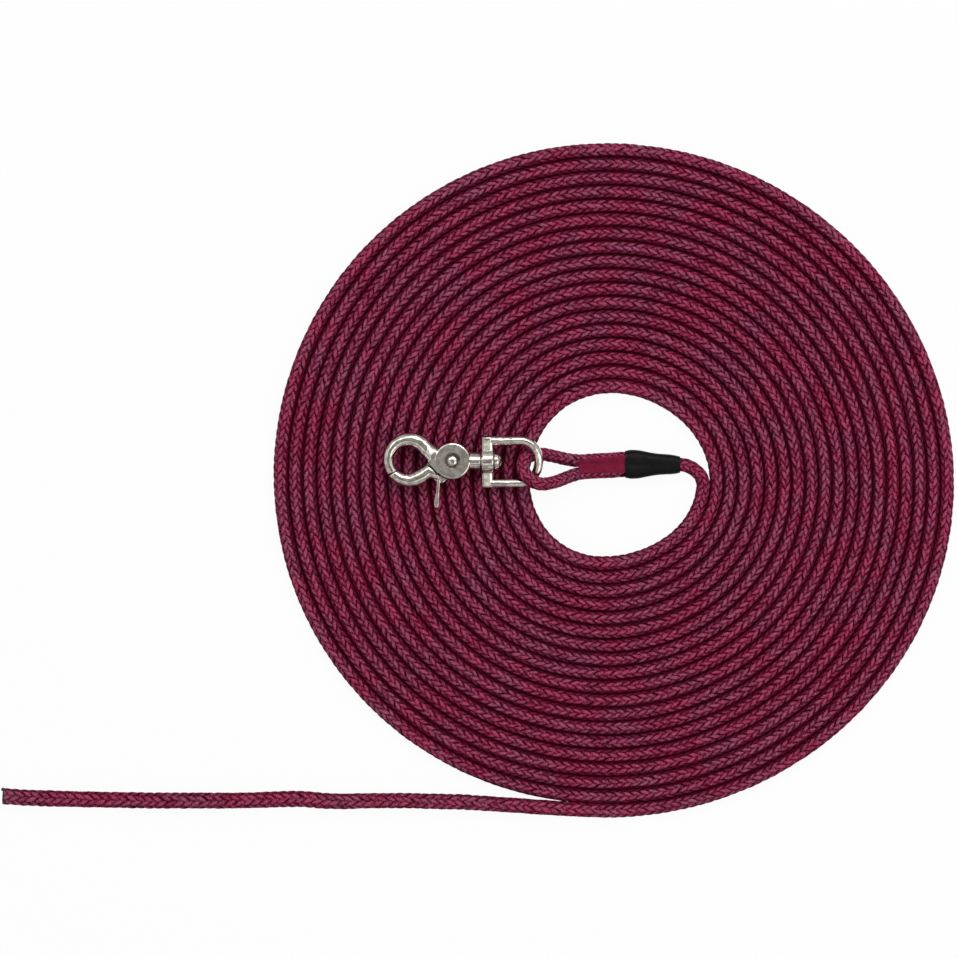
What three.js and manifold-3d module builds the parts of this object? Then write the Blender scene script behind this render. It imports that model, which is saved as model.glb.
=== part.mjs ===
// A training leash: ten metres of braided rope laid down as a flat coil, with a sewn eye at its inner end.
// The eye holds a bail, the bail holds a swivelling scissor snap hook, and the outer end runs off to the left.
// Millimetres, +Z up, the floor at z = 0. The finished model is centred over the floor by its own box.

import * as THREE from 'three';
import { mergeVertices } from 'three/addons/utils/BufferGeometryUtils.js';
import Module from 'manifold-3d';

const wasm = await Module();
wasm.setup();

// Driving sizes of the rope
const ROPE_DIAMETER = 6;
const LEAD_DIAMETER = 4.8;
const EYE_DIAMETER = 4.7;
const CORD_SIDES = 10;
const JOINT_GAP = 0.3;

// Driving sizes of the coil. Angles run clockwise from +X, as the rope does on its way out.
const COIL_TURNS = 18.27;
const COIL_START_DEGREES = 2;
const COIL_FIRST_RADIUS = 33.56;
const COIL_PITCH = 5.5;
const TURN_GAP = 0.74;
const STEPS_PER_TURN = 24;

// The hole and the rim aren't round: each has a shift, an oval and a triangle wave with an angle of its own.
const HOLE_SHIFT = 1.1;
const HOLE_SHIFT_DEGREES = -59;
const HOLE_OVAL = 1.03;
const HOLE_OVAL_DEGREES = -8;
const HOLE_TRIANGLE = 0.79;
const HOLE_TRIANGLE_DEGREES = 16;
const RIM_SHIFT = 1.94;
const RIM_SHIFT_DEGREES = -133;
const RIM_OVAL = 1.36;
const RIM_OVAL_DEGREES = 16;
const RIM_TRIANGLE = 0.35;
const RIM_TRIANGLE_DEGREES = 34;

// The pressed rope's section: flat below by a tenth of the rope, and almost as flat on top.
const FLAT_BELOW_SHARE = 0.1;
const FLAT_ABOVE_SHARE = 0.05;

// Driving sizes of the sewn seam and the shrink sleeve
const SEAM_START_X = -13.5;
const SEAM_END_X = 3.6;
const SEAM_HEIGHT = 3.3;
const LEG_SPACING = EYE_DIAMETER + JOINT_GAP;
const THREAD_DIAMETER = 0.5;
const THREAD_LIFT = 0.15;
const STITCH_SPACING = 1;
const STITCH_REACH = 2.3;
const STITCH_STRAIGHT = 0.8;
const THREAD_SIDES = 5;
const STEPS_PER_STITCH = 10;
const SLEEVE_START_X = 4.8;
const SLEEVE_END_X = 26.6;
const SLEEVE_CENTRE_Y = 6.64;
const SLEEVE_WIDTH_WIDE = 11.4;
const SLEEVE_WIDTH_NARROW = 6.6;
const SLEEVE_WALL = 0.55;
const SLEEVE_POINTS = 18;

// Driving sizes of the hook. Its own origin is the gate rivet's axis, and +X runs along the swivel.
const HOOK_X = -63.84;
const HOOK_Y = 7.95;
const HOOK_Z = 10.8;
const BOSS_RADIUS = 7.2;
const BOSS_THICKNESS = 7;
const BOSS_EDGE = 0.9;
const RECESS_RADIUS = 3.6;
const RECESS_DEPTH = 0.8;
const JAW_THICKNESS = 5.3;
const RING_RADIUS = 10.7;
const RING_X = -16.66;
const RING_Y = 0.48;
const OPENING_RADIUS = 5.5;
const OPENING_X = -17.81;
const OPENING_Y = 0.48;
const TIP_OUTER_DEGREES = 213;
const TIP_INNER_DEGREES = 227;
const TIP_SLIT_DEGREES = 4;
const CHEEK_TOP_X = -9.75;
const CHEEK_TOP_Y = -0.05;
const CHEEK_LOW_X = -5.72;
const CHEEK_LOW_Y = -4.85;
const RUNNING_GAP = 0.35;
const SLOT_RADIUS = 5.15;
const SLOT_HEIGHT = 3.2;
const SLOT_REACH = 13;
const SLOT_FROM_DEGREES = 178;
const SLOT_TO_DEGREES = 305;
const NECK_RADIUS = 3.45;
const NECK_END_X = 11.2;
const NECK_CHAMFER = 0.4;
const BORE_CLEARANCE = 0.3;

// Driving sizes of the gate, its lever, its rivet and its spring
const GATE_HUB_RADIUS = 4.75;
const GATE_HUB_HEIGHT = 2.6;
const LEVER_LENGTH = 11.6;
const LEVER_ROOT_X = -5.6;
const LEVER_ROOT_Y = -7.6;
const LEVER_WIDTH = 1.9;
const LEVER_THICKNESS = 3.2;
const LEVER_EDGE = 0.3;
const RIVET_RADIUS = 1.6;
const RIVET_HEAD_RADIUS = 2.6;
const RIVET_HEAD_HEIGHT = 1.1;
const SPRING_RADIUS = 2.5;
const SPRING_WIRE = 0.45;
const SPRING_TURNS = 2.5;
const SPRING_PITCH = 0.55;
const SPRING_POCKET_RADIUS = 3.3;
const SPRING_POCKET_FLOOR = 0.5;

// Driving sizes of the bail and the swivel pin
const BAIL_ROLL_DEGREES = 12;
const BAIL_WIRE_RADIUS = 1.7;
const BAIL_HALF_WIDTH = 8.2;
const BAIL_BASE_X = 11.55;
const BAIL_BASE_DEPTH = 4.75;
const BAIL_BASE_THICKNESS = 3.6;
const BAIL_BASE_OVERHANG = 1.75;
const BARREL_RADIUS = 4.75;
const BARREL_EDGE = 0.5;
const ARM_END_X = 27.3;
const BOW_REACH = 7.2;
const WIRE_SIDES = 12;
const WIRE_STEPS = 40;
const PIN_RADIUS = 2;
const PIN_DEPTH = 5.5;
const PIN_HEAD_RADIUS = 3.3;
const PIN_HEAD_LENGTH = 3.2;

// One overrun for every cut
const OVERRUN = 1;

const ropeRed = new THREE.MeshStandardMaterial({ color: 0x6b2038, roughness: 0.85, metalness: 0 });
const threadRed = new THREE.MeshStandardMaterial({ color: 0x7a2a44, roughness: 0.7, metalness: 0 });
const sleeveBlack = new THREE.MeshStandardMaterial({ color: 0x16161a, roughness: 0.45, metalness: 0 });
const nickel = new THREE.MeshStandardMaterial({ color: 0xb9b3aa, roughness: 0.28, metalness: 1 });
const steel = new THREE.MeshStandardMaterial({ color: 0x9a9894, roughness: 0.35, metalness: 1 });

const radians = THREE.MathUtils.degToRad;

function meshNamed(name, geometry, material) {
  const mesh = new THREE.Mesh(geometry, material);
  mesh.name = name;
  return mesh;
}

// Solids and booleans

function solidOf(geometry) {
  const bare = geometry.clone();
  bare.deleteAttribute('normal');
  bare.deleteAttribute('uv');
  const merged = mergeVertices(bare);
  const vertProperties = Float32Array.from(merged.attributes.position.array);
  const triVerts = Uint32Array.from(merged.index.array);
  return new wasm.Manifold(new wasm.Mesh({ numProp: 3, vertProperties, triVerts }));
}

function geometryOf(solid) {
  const mesh = solid.getMesh();
  const geometry = new THREE.BufferGeometry();
  geometry.setAttribute('position', new THREE.BufferAttribute(Float32Array.from(mesh.vertProperties), 3));
  geometry.setIndex(new THREE.BufferAttribute(Uint32Array.from(mesh.triVerts), 1));
  geometry.computeVertexNormals();
  return geometry;
}

function joined(...solids) {
  return solids.reduce((whole, next) => whole.add(next));
}

// A closed body through rings of points, each ring convex and running the same way round.
function loft(rings) {
  const around = rings[0].length;
  const positions = rings.flat().flatMap((point) => [point.x, point.y, point.z]);
  const faces = [];
  for (let r = 0; r + 1 < rings.length; r += 1) {
    for (let s = 0; s < around; s += 1) {
      const here = r * around + s;
      const beside = r * around + ((s + 1) % around);
      faces.push(here, beside, here + around);
      faces.push(beside, beside + around, here + around);
    }
  }
  const last = (rings.length - 1) * around;
  for (let s = 1; s + 1 < around; s += 1) {
    faces.push(0, s + 1, s);
    faces.push(last, last + s, last + s + 1);
  }
  const geometry = new THREE.BufferGeometry();
  geometry.setAttribute('position', new THREE.Float32BufferAttribute(positions, 3));
  geometry.setIndex(faces);
  geometry.computeVertexNormals();
  return geometry;
}

function plate(points, thickness, edge = 0) {
  const shape = new THREE.Shape(points.map(([x, y]) => new THREE.Vector2(x, y)));
  const geometry = new THREE.ExtrudeGeometry(shape, {
    depth: thickness - 2 * edge,
    bevelEnabled: edge > 0,
    bevelThickness: edge,
    bevelSize: edge,
    bevelOffset: -edge,
    bevelSegments: 1,
  });
  return geometry.translate(0, 0, edge - thickness / 2);
}

// A turned body about the Z axis from a list of [radius, height] pairs, listed upwards from axis to axis.
function turned(profile, segments) {
  const points = profile.map(([radius, height]) => new THREE.Vector2(radius, height));
  return new THREE.LatheGeometry(points, segments).rotateX(Math.PI / 2);
}

function disc(radius, thickness, segments, edge = 0) {
  const half = thickness / 2;
  return turned([
    [0, -half],
    [radius - edge, -half],
    ...(edge > 0 ? [[radius, edge - half], [radius, half - edge]] : []),
    [radius - edge, half],
    [0, half],
  ], segments);
}

function rodAlongX(radius, fromX, toX, segments, edge = 0) {
  return disc(radius, toX - fromX, segments, edge).rotateY(Math.PI / 2).translate((fromX + toX) / 2, 0, 0);
}

// A domed rivet head that stands up from z = 0
function domeProfile(radius, height, steps) {
  const rim = height / 4;
  return Array.from({ length: steps + 1 }, (_, i) => {
    const turn = (i / steps) * Math.PI / 2;
    return [radius * Math.cos(turn), rim + (height - rim) * Math.sin(turn)];
  });
}

function cordTube(points, diameter, steps, sides = CORD_SIDES) {
  const route = new THREE.CatmullRomCurve3(points.map(([x, y, z]) => new THREE.Vector3(x, y, z)));
  const section = Array.from({ length: sides }, (_, i) => {
    const turn = (2 * Math.PI * i) / sides;
    return new THREE.Vector2(diameter / 2 * Math.cos(turn), diameter / 2 * Math.sin(turn));
  });
  return new THREE.ExtrudeGeometry(new THREE.Shape(section), { steps, extrudePath: route });
}

// The coil of rope: one unbroken tube that winds outwards in a single layer

function waves(turns, [shift, shiftAt], [oval, ovalAt], [triangle, triangleAt]) {
  const angle = 2 * Math.PI * turns;
  return shift * Math.cos(angle - radians(shiftAt))
    + oval * Math.cos(2 * angle - radians(ovalAt))
    + triangle * Math.cos(3 * angle - radians(triangleAt));
}

function coilRadius(turns) {
  const outward = turns / COIL_TURNS;
  const hole = waves(turns, [HOLE_SHIFT, HOLE_SHIFT_DEGREES], [HOLE_OVAL, HOLE_OVAL_DEGREES],
    [HOLE_TRIANGLE, HOLE_TRIANGLE_DEGREES]);
  const rim = waves(turns, [RIM_SHIFT, RIM_SHIFT_DEGREES], [RIM_OVAL, RIM_OVAL_DEGREES],
    [RIM_TRIANGLE, RIM_TRIANGLE_DEGREES]);
  return COIL_FIRST_RADIUS + COIL_PITCH * turns + hole * (1 - outward) + rim * outward;
}

const pressedWidth = COIL_PITCH - TURN_GAP;
const coilCentreZ = ROPE_DIAMETER * (0.5 - FLAT_BELOW_SHARE);

function coilPoint(turns) {
  const angle = 2 * Math.PI * turns;
  const radius = coilRadius(turns);
  return new THREE.Vector3(radius * Math.cos(angle), -radius * Math.sin(angle), coilCentreZ);
}

const coilStartTurns = COIL_START_DEGREES / 360;
const coilSteps = Math.round(COIL_TURNS * STEPS_PER_TURN);
const coilRoute = Array.from({ length: coilSteps + 1 }, (_, i) => (
  coilPoint(coilStartTurns + (COIL_TURNS * i) / coilSteps)
));

// Six points round the pressed section, as [sideways, up] from its centre
function pressedSection() {
  const below = Math.asin(1 - 2 * FLAT_BELOW_SHARE);
  const above = Math.asin(1 - 2 * FLAT_ABOVE_SHARE);
  return [-below, 0, above, Math.PI - above, Math.PI, Math.PI + below].map((turn) => [
    pressedWidth / 2 * Math.cos(turn),
    ROPE_DIAMETER / 2 * Math.sin(turn),
  ]);
}

function directionAt(route, i) {
  const before = route[Math.max(i - 1, 0)];
  const after = route[Math.min(i + 1, route.length - 1)];
  return after.clone().sub(before).normalize();
}

// Each ring stands in the mitre between its two straight runs, so that every run has the same width.
function coilRings() {
  const up = new THREE.Vector3(0, 0, 1);
  return coilRoute.map((point, i) => {
    const before = coilRoute[Math.max(i - 1, 0)].clone().sub(coilRoute[Math.max(i, 1)]).normalize();
    const after = coilRoute[Math.min(i + 1, coilSteps)].clone().sub(coilRoute[Math.min(i, coilSteps - 1)]).normalize();
    const along = after.clone().sub(before).normalize();
    const mitre = along.dot(after);
    const side = new THREE.Vector3().crossVectors(up, along);
    return pressedSection().map(([sideways, height]) => point.clone()
      .addScaledVector(side, sideways / mitre)
      .addScaledVector(up, height));
  });
}

// The least gap between one turn and the next, from points along the outer side to the runs of the inner side
function leastGap(rings) {
  const outerSide = rings.map((ring) => ring[1]);
  const innerSide = rings.map((ring) => ring[4]);
  const run = new THREE.Line3();
  const nearest = new THREE.Vector3();
  let least = Infinity;
  for (let i = 0; i + STEPS_PER_TURN < coilSteps; i += 1) {
    for (const share of [0, 0.25, 0.5, 0.75]) {
      const point = outerSide[i].clone().lerp(outerSide[i + 1], share);
      for (let j = i + STEPS_PER_TURN - 1; j < Math.min(i + STEPS_PER_TURN + 2, coilSteps); j += 1) {
        run.set(innerSide[j], innerSide[j + 1]);
        run.closestPointToPoint(point, true, nearest);
        least = Math.min(least, nearest.distanceTo(point));
      }
    }
  }
  return least;
}

const rings = coilRings();
const ropeCoil = meshNamed('rope_coil', loft(rings), ropeRed);
console.log(`least gap between the coil's turns: ${leastGap(rings).toFixed(2)} mm`);

// The tail leaves the coil in line with its last run and lies along the floor to the rope's cut end.
// Its route is measured from the coil's end.

const coilEnd = coilRoute[coilSteps];
const endRun = directionAt(coilRoute, coilSteps);
const tailRoute = [
  [-13.5, 0.5], [-23.9, 1.2], [-38.2, 2.1], [-46.2, 2.3], [-62.1, 2.7], [-78, 2.6], [-85.9, 2.4],
  [-93.9, 2.6], [-101.8, 3.3], [-109.8, 3.3], [-117.7, 3], [-133.6, 2.7], [-149.5, 2.7],
  [-165.4, 2.8], [-181.3, 3.1], [-197.2, 3.4], [-213.1, 3.9], [-221.5, 4.4],
];
const TAIL_STEPS = 18;

function ropeTail() {
  const start = coilEnd.clone().addScaledVector(endRun, JOINT_GAP);
  const afterStart = coilEnd.clone().addScaledVector(endRun, JOINT_GAP + ROPE_DIAMETER);
  const onwards = tailRoute.map(([x, y]) => [coilEnd.x + x, coilEnd.y + y]);
  const points = [[start.x, start.y], [afterStart.x, afterStart.y], ...onwards];
  return cordTube(points.map(([x, y]) => [x, y, ROPE_DIAMETER / 2]), ROPE_DIAMETER, TAIL_STEPS);
}

// The lead runs out of the shrink sleeve and bends sharply down into the innermost turn.
// The bend's points are shares of the way across and down from the sleeve to the coil's start.

const coilStart = coilRoute[0];
const startRun = directionAt(coilRoute, 0);
const leadInSleeve = [[11.5, 8.4], [14, 7.75], [17, 7.15], [20, 6.8], [23.5, 6.64], [26.6, 6.55]];
const leadBendShares = [[0.248, 0.045], [0.495, 0.16], [0.711, 0.34], [0.894, 0.583]];
const LEAD_STEPS = 16;
const LEAD_STRAIGHT = 0.8;

function ropeLead() {
  const end = coilStart.clone().addScaledVector(startRun, -JOINT_GAP);
  const beforeEnd = coilStart.clone().addScaledVector(startRun, -JOINT_GAP - LEAD_STRAIGHT);
  const low = LEAD_DIAMETER / 2 + THREAD_LIFT;
  const [fromX, fromY] = leadInSleeve[leadInSleeve.length - 1];
  const bend = leadBendShares.map(([across, down]) => [
    THREE.MathUtils.lerp(fromX, coilStart.x, across),
    THREE.MathUtils.lerp(fromY, coilStart.y, down),
    THREE.MathUtils.lerp(SEAM_HEIGHT, low, down),
  ]);
  const points = [...leadInSleeve.map(([x, y]) => [x, y, SEAM_HEIGHT]), ...bend];
  const last = [beforeEnd, end].map((point) => [point.x, point.y, low]);
  return cordTube([...points, ...last], LEAD_DIAMETER, LEAD_STEPS);
}

// The eye: from the rope's short end in the sleeve, along the seam, over the bow, round inside the bail,
// back under the bow and along the seam again, where it goes on as the lead. Each point is its place on
// the floor and its rise, as a share of the way from the seam's height up to the bow's.

const eyeRoute = [
  [8.4, 4.14, 0], [4, 4.1, 0], [-2, 3.72, 0], [-8, 3.4, 0], [-13, 3, 0], [-16, 2.3, 0.08],
  [-18.6, 1.3, 0.27], [-21.4, 0.2, 0.55], [-24.3, -0.7, 0.85], [-27.3, -1.2, 1.15],
  [-30.2, -0.9, 1.36], [-32.9, 0.5, 1.41], [-35.1, 3, 1.28], [-35.9, 5.9, 1.03], [-35, 8.6, 0.77],
  [-32.4, 10.2, 0.53], [-28.8, 10.7, 0.32], [-24.8, 10.1, 0.15], [-21.2, 9.3, 0.04],
  [-17.5, 8.5, 0], [-13, 8, 0], [-8, 8.4, 0], [-2, 8.72, 0], [4, 9.05, 0], [9, 8.95, 0],
  [10.9, 8.55, 0],
];
const EYE_STEPS = 46;

function ropeEye() {
  const points = eyeRoute.map(([x, y, rise]) => [x, y, THREE.MathUtils.lerp(SEAM_HEIGHT, HOOK_Z, rise)]);
  return cordTube(points, EYE_DIAMETER, EYE_STEPS);
}

// The thread over the seam lies in legs side by side, with a round turn between each and the next.
// The needle's thread lies on top and the bobbin's underneath.

function seamCentreY(x) {
  const along = (x - SEAM_START_X) / (SEAM_END_X - SEAM_START_X);
  return THREE.MathUtils.lerp(eyeRoute[4][1], eyeRoute[1][1], along) + LEG_SPACING / 2;
}

function stitching(height, reach) {
  const legs = Math.floor((SEAM_END_X - SEAM_START_X) / STITCH_SPACING);
  const points = Array.from({ length: legs }, (_, i) => {
    const x = SEAM_START_X + i * STITCH_SPACING;
    const side = i % 2 === 0 ? reach : -reach;
    const straight = [-STITCH_STRAIGHT, 0, STITCH_STRAIGHT];
    const leg = straight.map((share) => [x, seamCentreY(x) + side * share, height]);
    const turnX = x + STITCH_SPACING / 2;
    return i < legs - 1 ? [...leg, [turnX, seamCentreY(turnX) + side, height]] : leg;
  }).flat();
  return cordTube(points, THREAD_DIAMETER, legs * STEPS_PER_STITCH, THREAD_SIDES);
}

const threadOffset = (EYE_DIAMETER + THREAD_DIAMETER) / 2 + THREAD_LIFT;

// The shrink sleeve: an oval tube that holds both legs at its wide end and the single rope at its narrow end

const sleeveShares = [[-0.02, 0.93], [0.13, 1], [0.28, 0.87], [0.43, 0.58], [0.63, 0.25], [0.85, 0.12], [1.02, 0]];

function sleeveRings(shrink) {
  const span = SLEEVE_END_X - SLEEVE_START_X;
  const height = LEAD_DIAMETER + 2 * (THREAD_LIFT + SLEEVE_WALL);
  return sleeveShares.map(([alongShare, widthShare], i) => {
    const inside = shrink > 0;
    const ends = i === 0 || i === sleeveShares.length - 1;
    const share = ends && !inside ? THREE.MathUtils.clamp(alongShare, 0, 1) : alongShare;
    const width = SLEEVE_WIDTH_NARROW + (SLEEVE_WIDTH_WIDE - SLEEVE_WIDTH_NARROW) * widthShare;
    return Array.from({ length: SLEEVE_POINTS }, (_, s) => {
      const turn = (2 * Math.PI * s) / SLEEVE_POINTS;
      const round = (value) => Math.sign(value) * Math.abs(value) ** 0.65;
      return new THREE.Vector3(
        SLEEVE_START_X + span * share,
        SLEEVE_CENTRE_Y + (width / 2 - shrink) * round(Math.cos(turn)),
        SEAM_HEIGHT + (height / 2 - shrink) * round(Math.sin(turn)),
      );
    });
  });
}

function shrinkSleeve() {
  return geometryOf(solidOf(loft(sleeveRings(0))).subtract(solidOf(loft(sleeveRings(SLEEVE_WALL)))));
}

// The hook's jaws: lofts whose rings stand between a point on the inner edge and one on the outer edge

const SECTION_POINTS = 12;

function jawRing([innerX, innerY], [outerX, outerY], thickness) {
  const half = new THREE.Vector3(outerX - innerX, outerY - innerY, 0).multiplyScalar(0.5);
  const centre = new THREE.Vector3(innerX, innerY, 0).add(half);
  const soft = (value) => Math.sign(value) * Math.abs(value) ** 0.75;
  return Array.from({ length: SECTION_POINTS }, (_, s) => {
    const turn = (2 * Math.PI * (s + 0.5)) / SECTION_POINTS;
    return centre.clone()
      .addScaledVector(half, soft(Math.cos(turn)) / soft(Math.cos(Math.PI / SECTION_POINTS)))
      .add(new THREE.Vector3(0, 0, thickness / 2 * soft(Math.sin(turn))));
  });
}

function polar(x, y, radius, degrees) {
  return [x + radius * Math.cos(radians(degrees)), y + radius * Math.sin(radians(degrees))];
}

const onRing = (degrees) => polar(RING_X, RING_Y, RING_RADIUS, degrees);
const onOpening = (degrees) => polar(OPENING_X, OPENING_Y, OPENING_RADIUS, degrees);
const cheekTop = [CHEEK_TOP_X, CHEEK_TOP_Y];
const cheekLow = [CHEEK_LOW_X, CHEEK_LOW_Y];
const between = ([ax, ay], [bx, by], share) => [ax + (bx - ax) * share, ay + (by - ay) * share];

// Where the opening's round edge turns into the straight edge that runs to the top of the cheek
function tangentDegrees() {
  const reach = Math.hypot(CHEEK_TOP_X - OPENING_X, CHEEK_TOP_Y - OPENING_Y);
  const towards = Math.atan2(CHEEK_TOP_Y - OPENING_Y, CHEEK_TOP_X - OPENING_X);
  return THREE.MathUtils.radToDeg(towards + Math.acos(OPENING_RADIUS / reach));
}

function upperJaw() {
  const turnsInto = tangentDegrees();
  const curved = [0, 0.12, 0.24, 0.36, 0.48, 0.6, 0.72, 0.84].map((share) => jawRing(
    onOpening(TIP_INNER_DEGREES + (turnsInto - TIP_INNER_DEGREES) * share / 0.84),
    onRing(TIP_OUTER_DEGREES + (turnsInto + 12 - TIP_OUTER_DEGREES) * share / 0.84),
    JAW_THICKNESS,
  ));
  const straightStart = onOpening(turnsInto);
  const inBoss = polar(0, 0, BOSS_RADIUS, 112);
  const outerRoot = polar(0, 0, BOSS_RADIUS * 1.04, 138);
  const root = [
    jawRing(between(straightStart, cheekTop, 0.45), onRing(turnsInto - 7), JAW_THICKNESS),
    jawRing(between(straightStart, cheekTop, 1), outerRoot, JAW_THICKNESS),
    jawRing(polar(0, 0, BOSS_RADIUS * 0.86, 200), inBoss, JAW_THICKNESS),
  ];
  return loft([...curved, ...root]);
}

function gateJaw() {
  const slit = TIP_SLIT_DEGREES;
  const innerFrom = TIP_INNER_DEGREES + slit * RING_RADIUS / OPENING_RADIUS / 2;
  const outerFrom = TIP_OUTER_DEGREES + slit;
  const curved = [0, 0.25, 0.5, 0.75, 1].map((share) => jawRing(
    onOpening(innerFrom + (285 - innerFrom) * share),
    onRing(outerFrom + (273 - outerFrom) * share),
    JAW_THICKNESS,
  ));
  const cornerStart = onOpening(285);
  const corner = [CHEEK_TOP_X - RUNNING_GAP / 2, CHEEK_TOP_Y - 3 * RUNNING_GAP];
  const sagged = (share, sag) => {
    const [x, y] = between(cornerStart, corner, share);
    return [x, y - sag * RUNNING_GAP];
  };
  const root = [
    jawRing(sagged(0.4, 1.6), onRing(288), JAW_THICKNESS),
    jawRing(sagged(0.72, 1.2), onRing(303), JAW_THICKNESS),
    jawRing(corner, onRing(317), JAW_THICKNESS),
    jawRing(polar(0, 0, BOSS_RADIUS, 196), polar(0, 0, BOSS_RADIUS * 1.3, 240), JAW_THICKNESS),
  ];
  return loft([...curved, ...root].map((ring) => ring.reverse()));
}

// The hook's body: a round boss with two cheeks, the fixed upper jaw and the neck that carries the swivel

function fan(fromDegrees, toDegrees, radius, steps) {
  const rim = Array.from({ length: steps + 1 }, (_, i) => polar(0, 0, radius,
    fromDegrees + ((toDegrees - fromDegrees) * i) / steps));
  return [[0, 0], ...rim];
}

function hookBody() {
  const boss = solidOf(disc(BOSS_RADIUS, BOSS_THICKNESS, 40, BOSS_EDGE));
  const cheeks = solidOf(plate([cheekTop, cheekLow, [0, 0], polar(0, 0, BOSS_RADIUS * 0.9, 120)], JAW_THICKNESS));
  const jaw = solidOf(upperJaw());
  const neck = solidOf(rodAlongX(NECK_RADIUS, BOSS_RADIUS / 2, NECK_END_X, 28, NECK_CHAMFER));
  const slot = joined(
    solidOf(disc(SLOT_RADIUS, SLOT_HEIGHT, 32)),
    solidOf(plate(fan(SLOT_FROM_DEGREES, SLOT_TO_DEGREES, SLOT_REACH, 6), SLOT_HEIGHT)),
  );
  const recess = solidOf(disc(RECESS_RADIUS, RECESS_DEPTH + OVERRUN, 32));
  const recessShift = BOSS_THICKNESS / 2 - RECESS_DEPTH + (RECESS_DEPTH + OVERRUN) / 2;
  const rivetBore = solidOf(disc(RIVET_RADIUS + BORE_CLEARANCE, BOSS_THICKNESS + OVERRUN, 20));
  const pinBore = solidOf(rodAlongX(PIN_RADIUS + BORE_CLEARANCE, NECK_END_X - PIN_DEPTH, NECK_END_X + OVERRUN, 20));
  return geometryOf(joined(boss, cheeks, jaw, neck)
    .subtract(slot)
    .subtract(recess.translate([0, 0, recessShift]))
    .subtract(recess.translate([0, 0, -recessShift]))
    .subtract(rivetBore)
    .subtract(pinBore));
}

// The gate: the lower jaw, the finger lever and the thin hub that turns between the cheeks

const leverShares = [
  [-0.1, 0.95], [-1.1, 0.55], [-0.36, 0.06], [-0.36, -0.25], [-0.6, -0.55], [-0.92, -0.82], [-0.82, -0.96], [-0.5, -1],
  [-0.05, -0.97], [0.16, -0.8], [0.2, -0.55], [0.36, -0.25], [0.62, 0.02], [1.4, 0.06], [2.4, 0.08], [2.6, 0.4],
];

function lever() {
  const outline = leverShares.map(([across, along]) => [
    LEVER_ROOT_X + across * LEVER_WIDTH,
    LEVER_ROOT_Y + along * (along < 0 ? LEVER_LENGTH : LEVER_WIDTH * 2),
  ]);
  return plate(outline, LEVER_THICKNESS, LEVER_EDGE);
}

function gate() {
  const clear = BOSS_RADIUS + RUNNING_GAP;
  const run = new THREE.Vector2(CHEEK_LOW_X - CHEEK_TOP_X, CHEEK_LOW_Y - CHEEK_TOP_Y).normalize();
  const away = new THREE.Vector2(run.y, -run.x).multiplyScalar(RUNNING_GAP);
  const cheekSide = [
    [CHEEK_TOP_X + away.x - run.x * BOSS_RADIUS, CHEEK_TOP_Y + away.y - run.y * BOSS_RADIUS],
    [CHEEK_LOW_X + away.x + run.x * RUNNING_GAP, CHEEK_LOW_Y + away.y + run.y * RUNNING_GAP],
    [0, 0],
    [0, BOSS_RADIUS],
  ];
  const thick = joined(solidOf(gateJaw()), solidOf(lever()))
    .subtract(solidOf(disc(clear, JAW_THICKNESS + OVERRUN, 40)))
    .subtract(solidOf(plate(cheekSide, JAW_THICKNESS + OVERRUN)));
  const web = solidOf(plate([
    polar(0, 0, GATE_HUB_RADIUS * 0.97, 183),
    [CHEEK_TOP_X - RUNNING_GAP, CHEEK_TOP_Y - 3 * RUNNING_GAP],
    polar(0, 0, BOSS_RADIUS * 1.48, 216),
    polar(0, 0, BOSS_RADIUS * 1.42, 238),
    polar(0, 0, BOSS_RADIUS * 1.27, 248),
    polar(0, 0, GATE_HUB_RADIUS * 0.97, 268),
    [0, 0],
  ], GATE_HUB_HEIGHT));
  const hub = solidOf(disc(GATE_HUB_RADIUS, GATE_HUB_HEIGHT, 32));
  const bore = solidOf(disc(RIVET_RADIUS + BORE_CLEARANCE, GATE_HUB_HEIGHT + OVERRUN, 20));
  const pocketTop = GATE_HUB_HEIGHT / 2 + OVERRUN;
  const pocketFloor = SPRING_POCKET_FLOOR - GATE_HUB_HEIGHT / 2;
  const pocket = solidOf(disc(SPRING_POCKET_RADIUS, pocketTop - pocketFloor, 28)
    .translate(0, 0, (pocketTop + pocketFloor) / 2));
  return geometryOf(joined(thick, web, hub).subtract(bore).subtract(pocket));
}

function gateRivet() {
  const floor = BOSS_THICKNESS / 2 - RECESS_DEPTH + JOINT_GAP;
  const dome = domeProfile(RIVET_HEAD_RADIUS, RIVET_HEAD_HEIGHT, 4);
  const upper = dome.map(([radius, height]) => [radius, floor + height]);
  return turned([
    ...upper.map(([radius, height]) => [radius, -height]).reverse(),
    [RIVET_HEAD_RADIUS, -floor],
    [RIVET_RADIUS, -floor],
    [RIVET_RADIUS, floor],
    [RIVET_HEAD_RADIUS, floor],
    ...upper,
  ].map(([radius, height]) => [Math.max(radius, 0), height]), 24);
}

// The torsion spring winds round the rivet in the gate's pocket. One end reaches out along the pocket's floor.
function gateSpring() {
  const low = SPRING_POCKET_FLOOR - GATE_HUB_HEIGHT / 2 + JOINT_GAP + SPRING_WIRE / 2;
  const perTurn = 8;
  const steps = Math.round(SPRING_TURNS * perTurn);
  const points = Array.from({ length: steps + 1 }, (_, i) => {
    const turn = (2 * Math.PI * i) / perTurn;
    const height = low + (SPRING_PITCH * i) / perTurn;
    return [SPRING_RADIUS * Math.cos(turn), SPRING_RADIUS * Math.sin(turn), height];
  });
  return cordTube(points, SPRING_WIRE, steps, THREAD_SIDES);
}

// The bail: a cross bar with a round barrel for the swivel, and a wire bow that the rope's eye goes through

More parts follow.
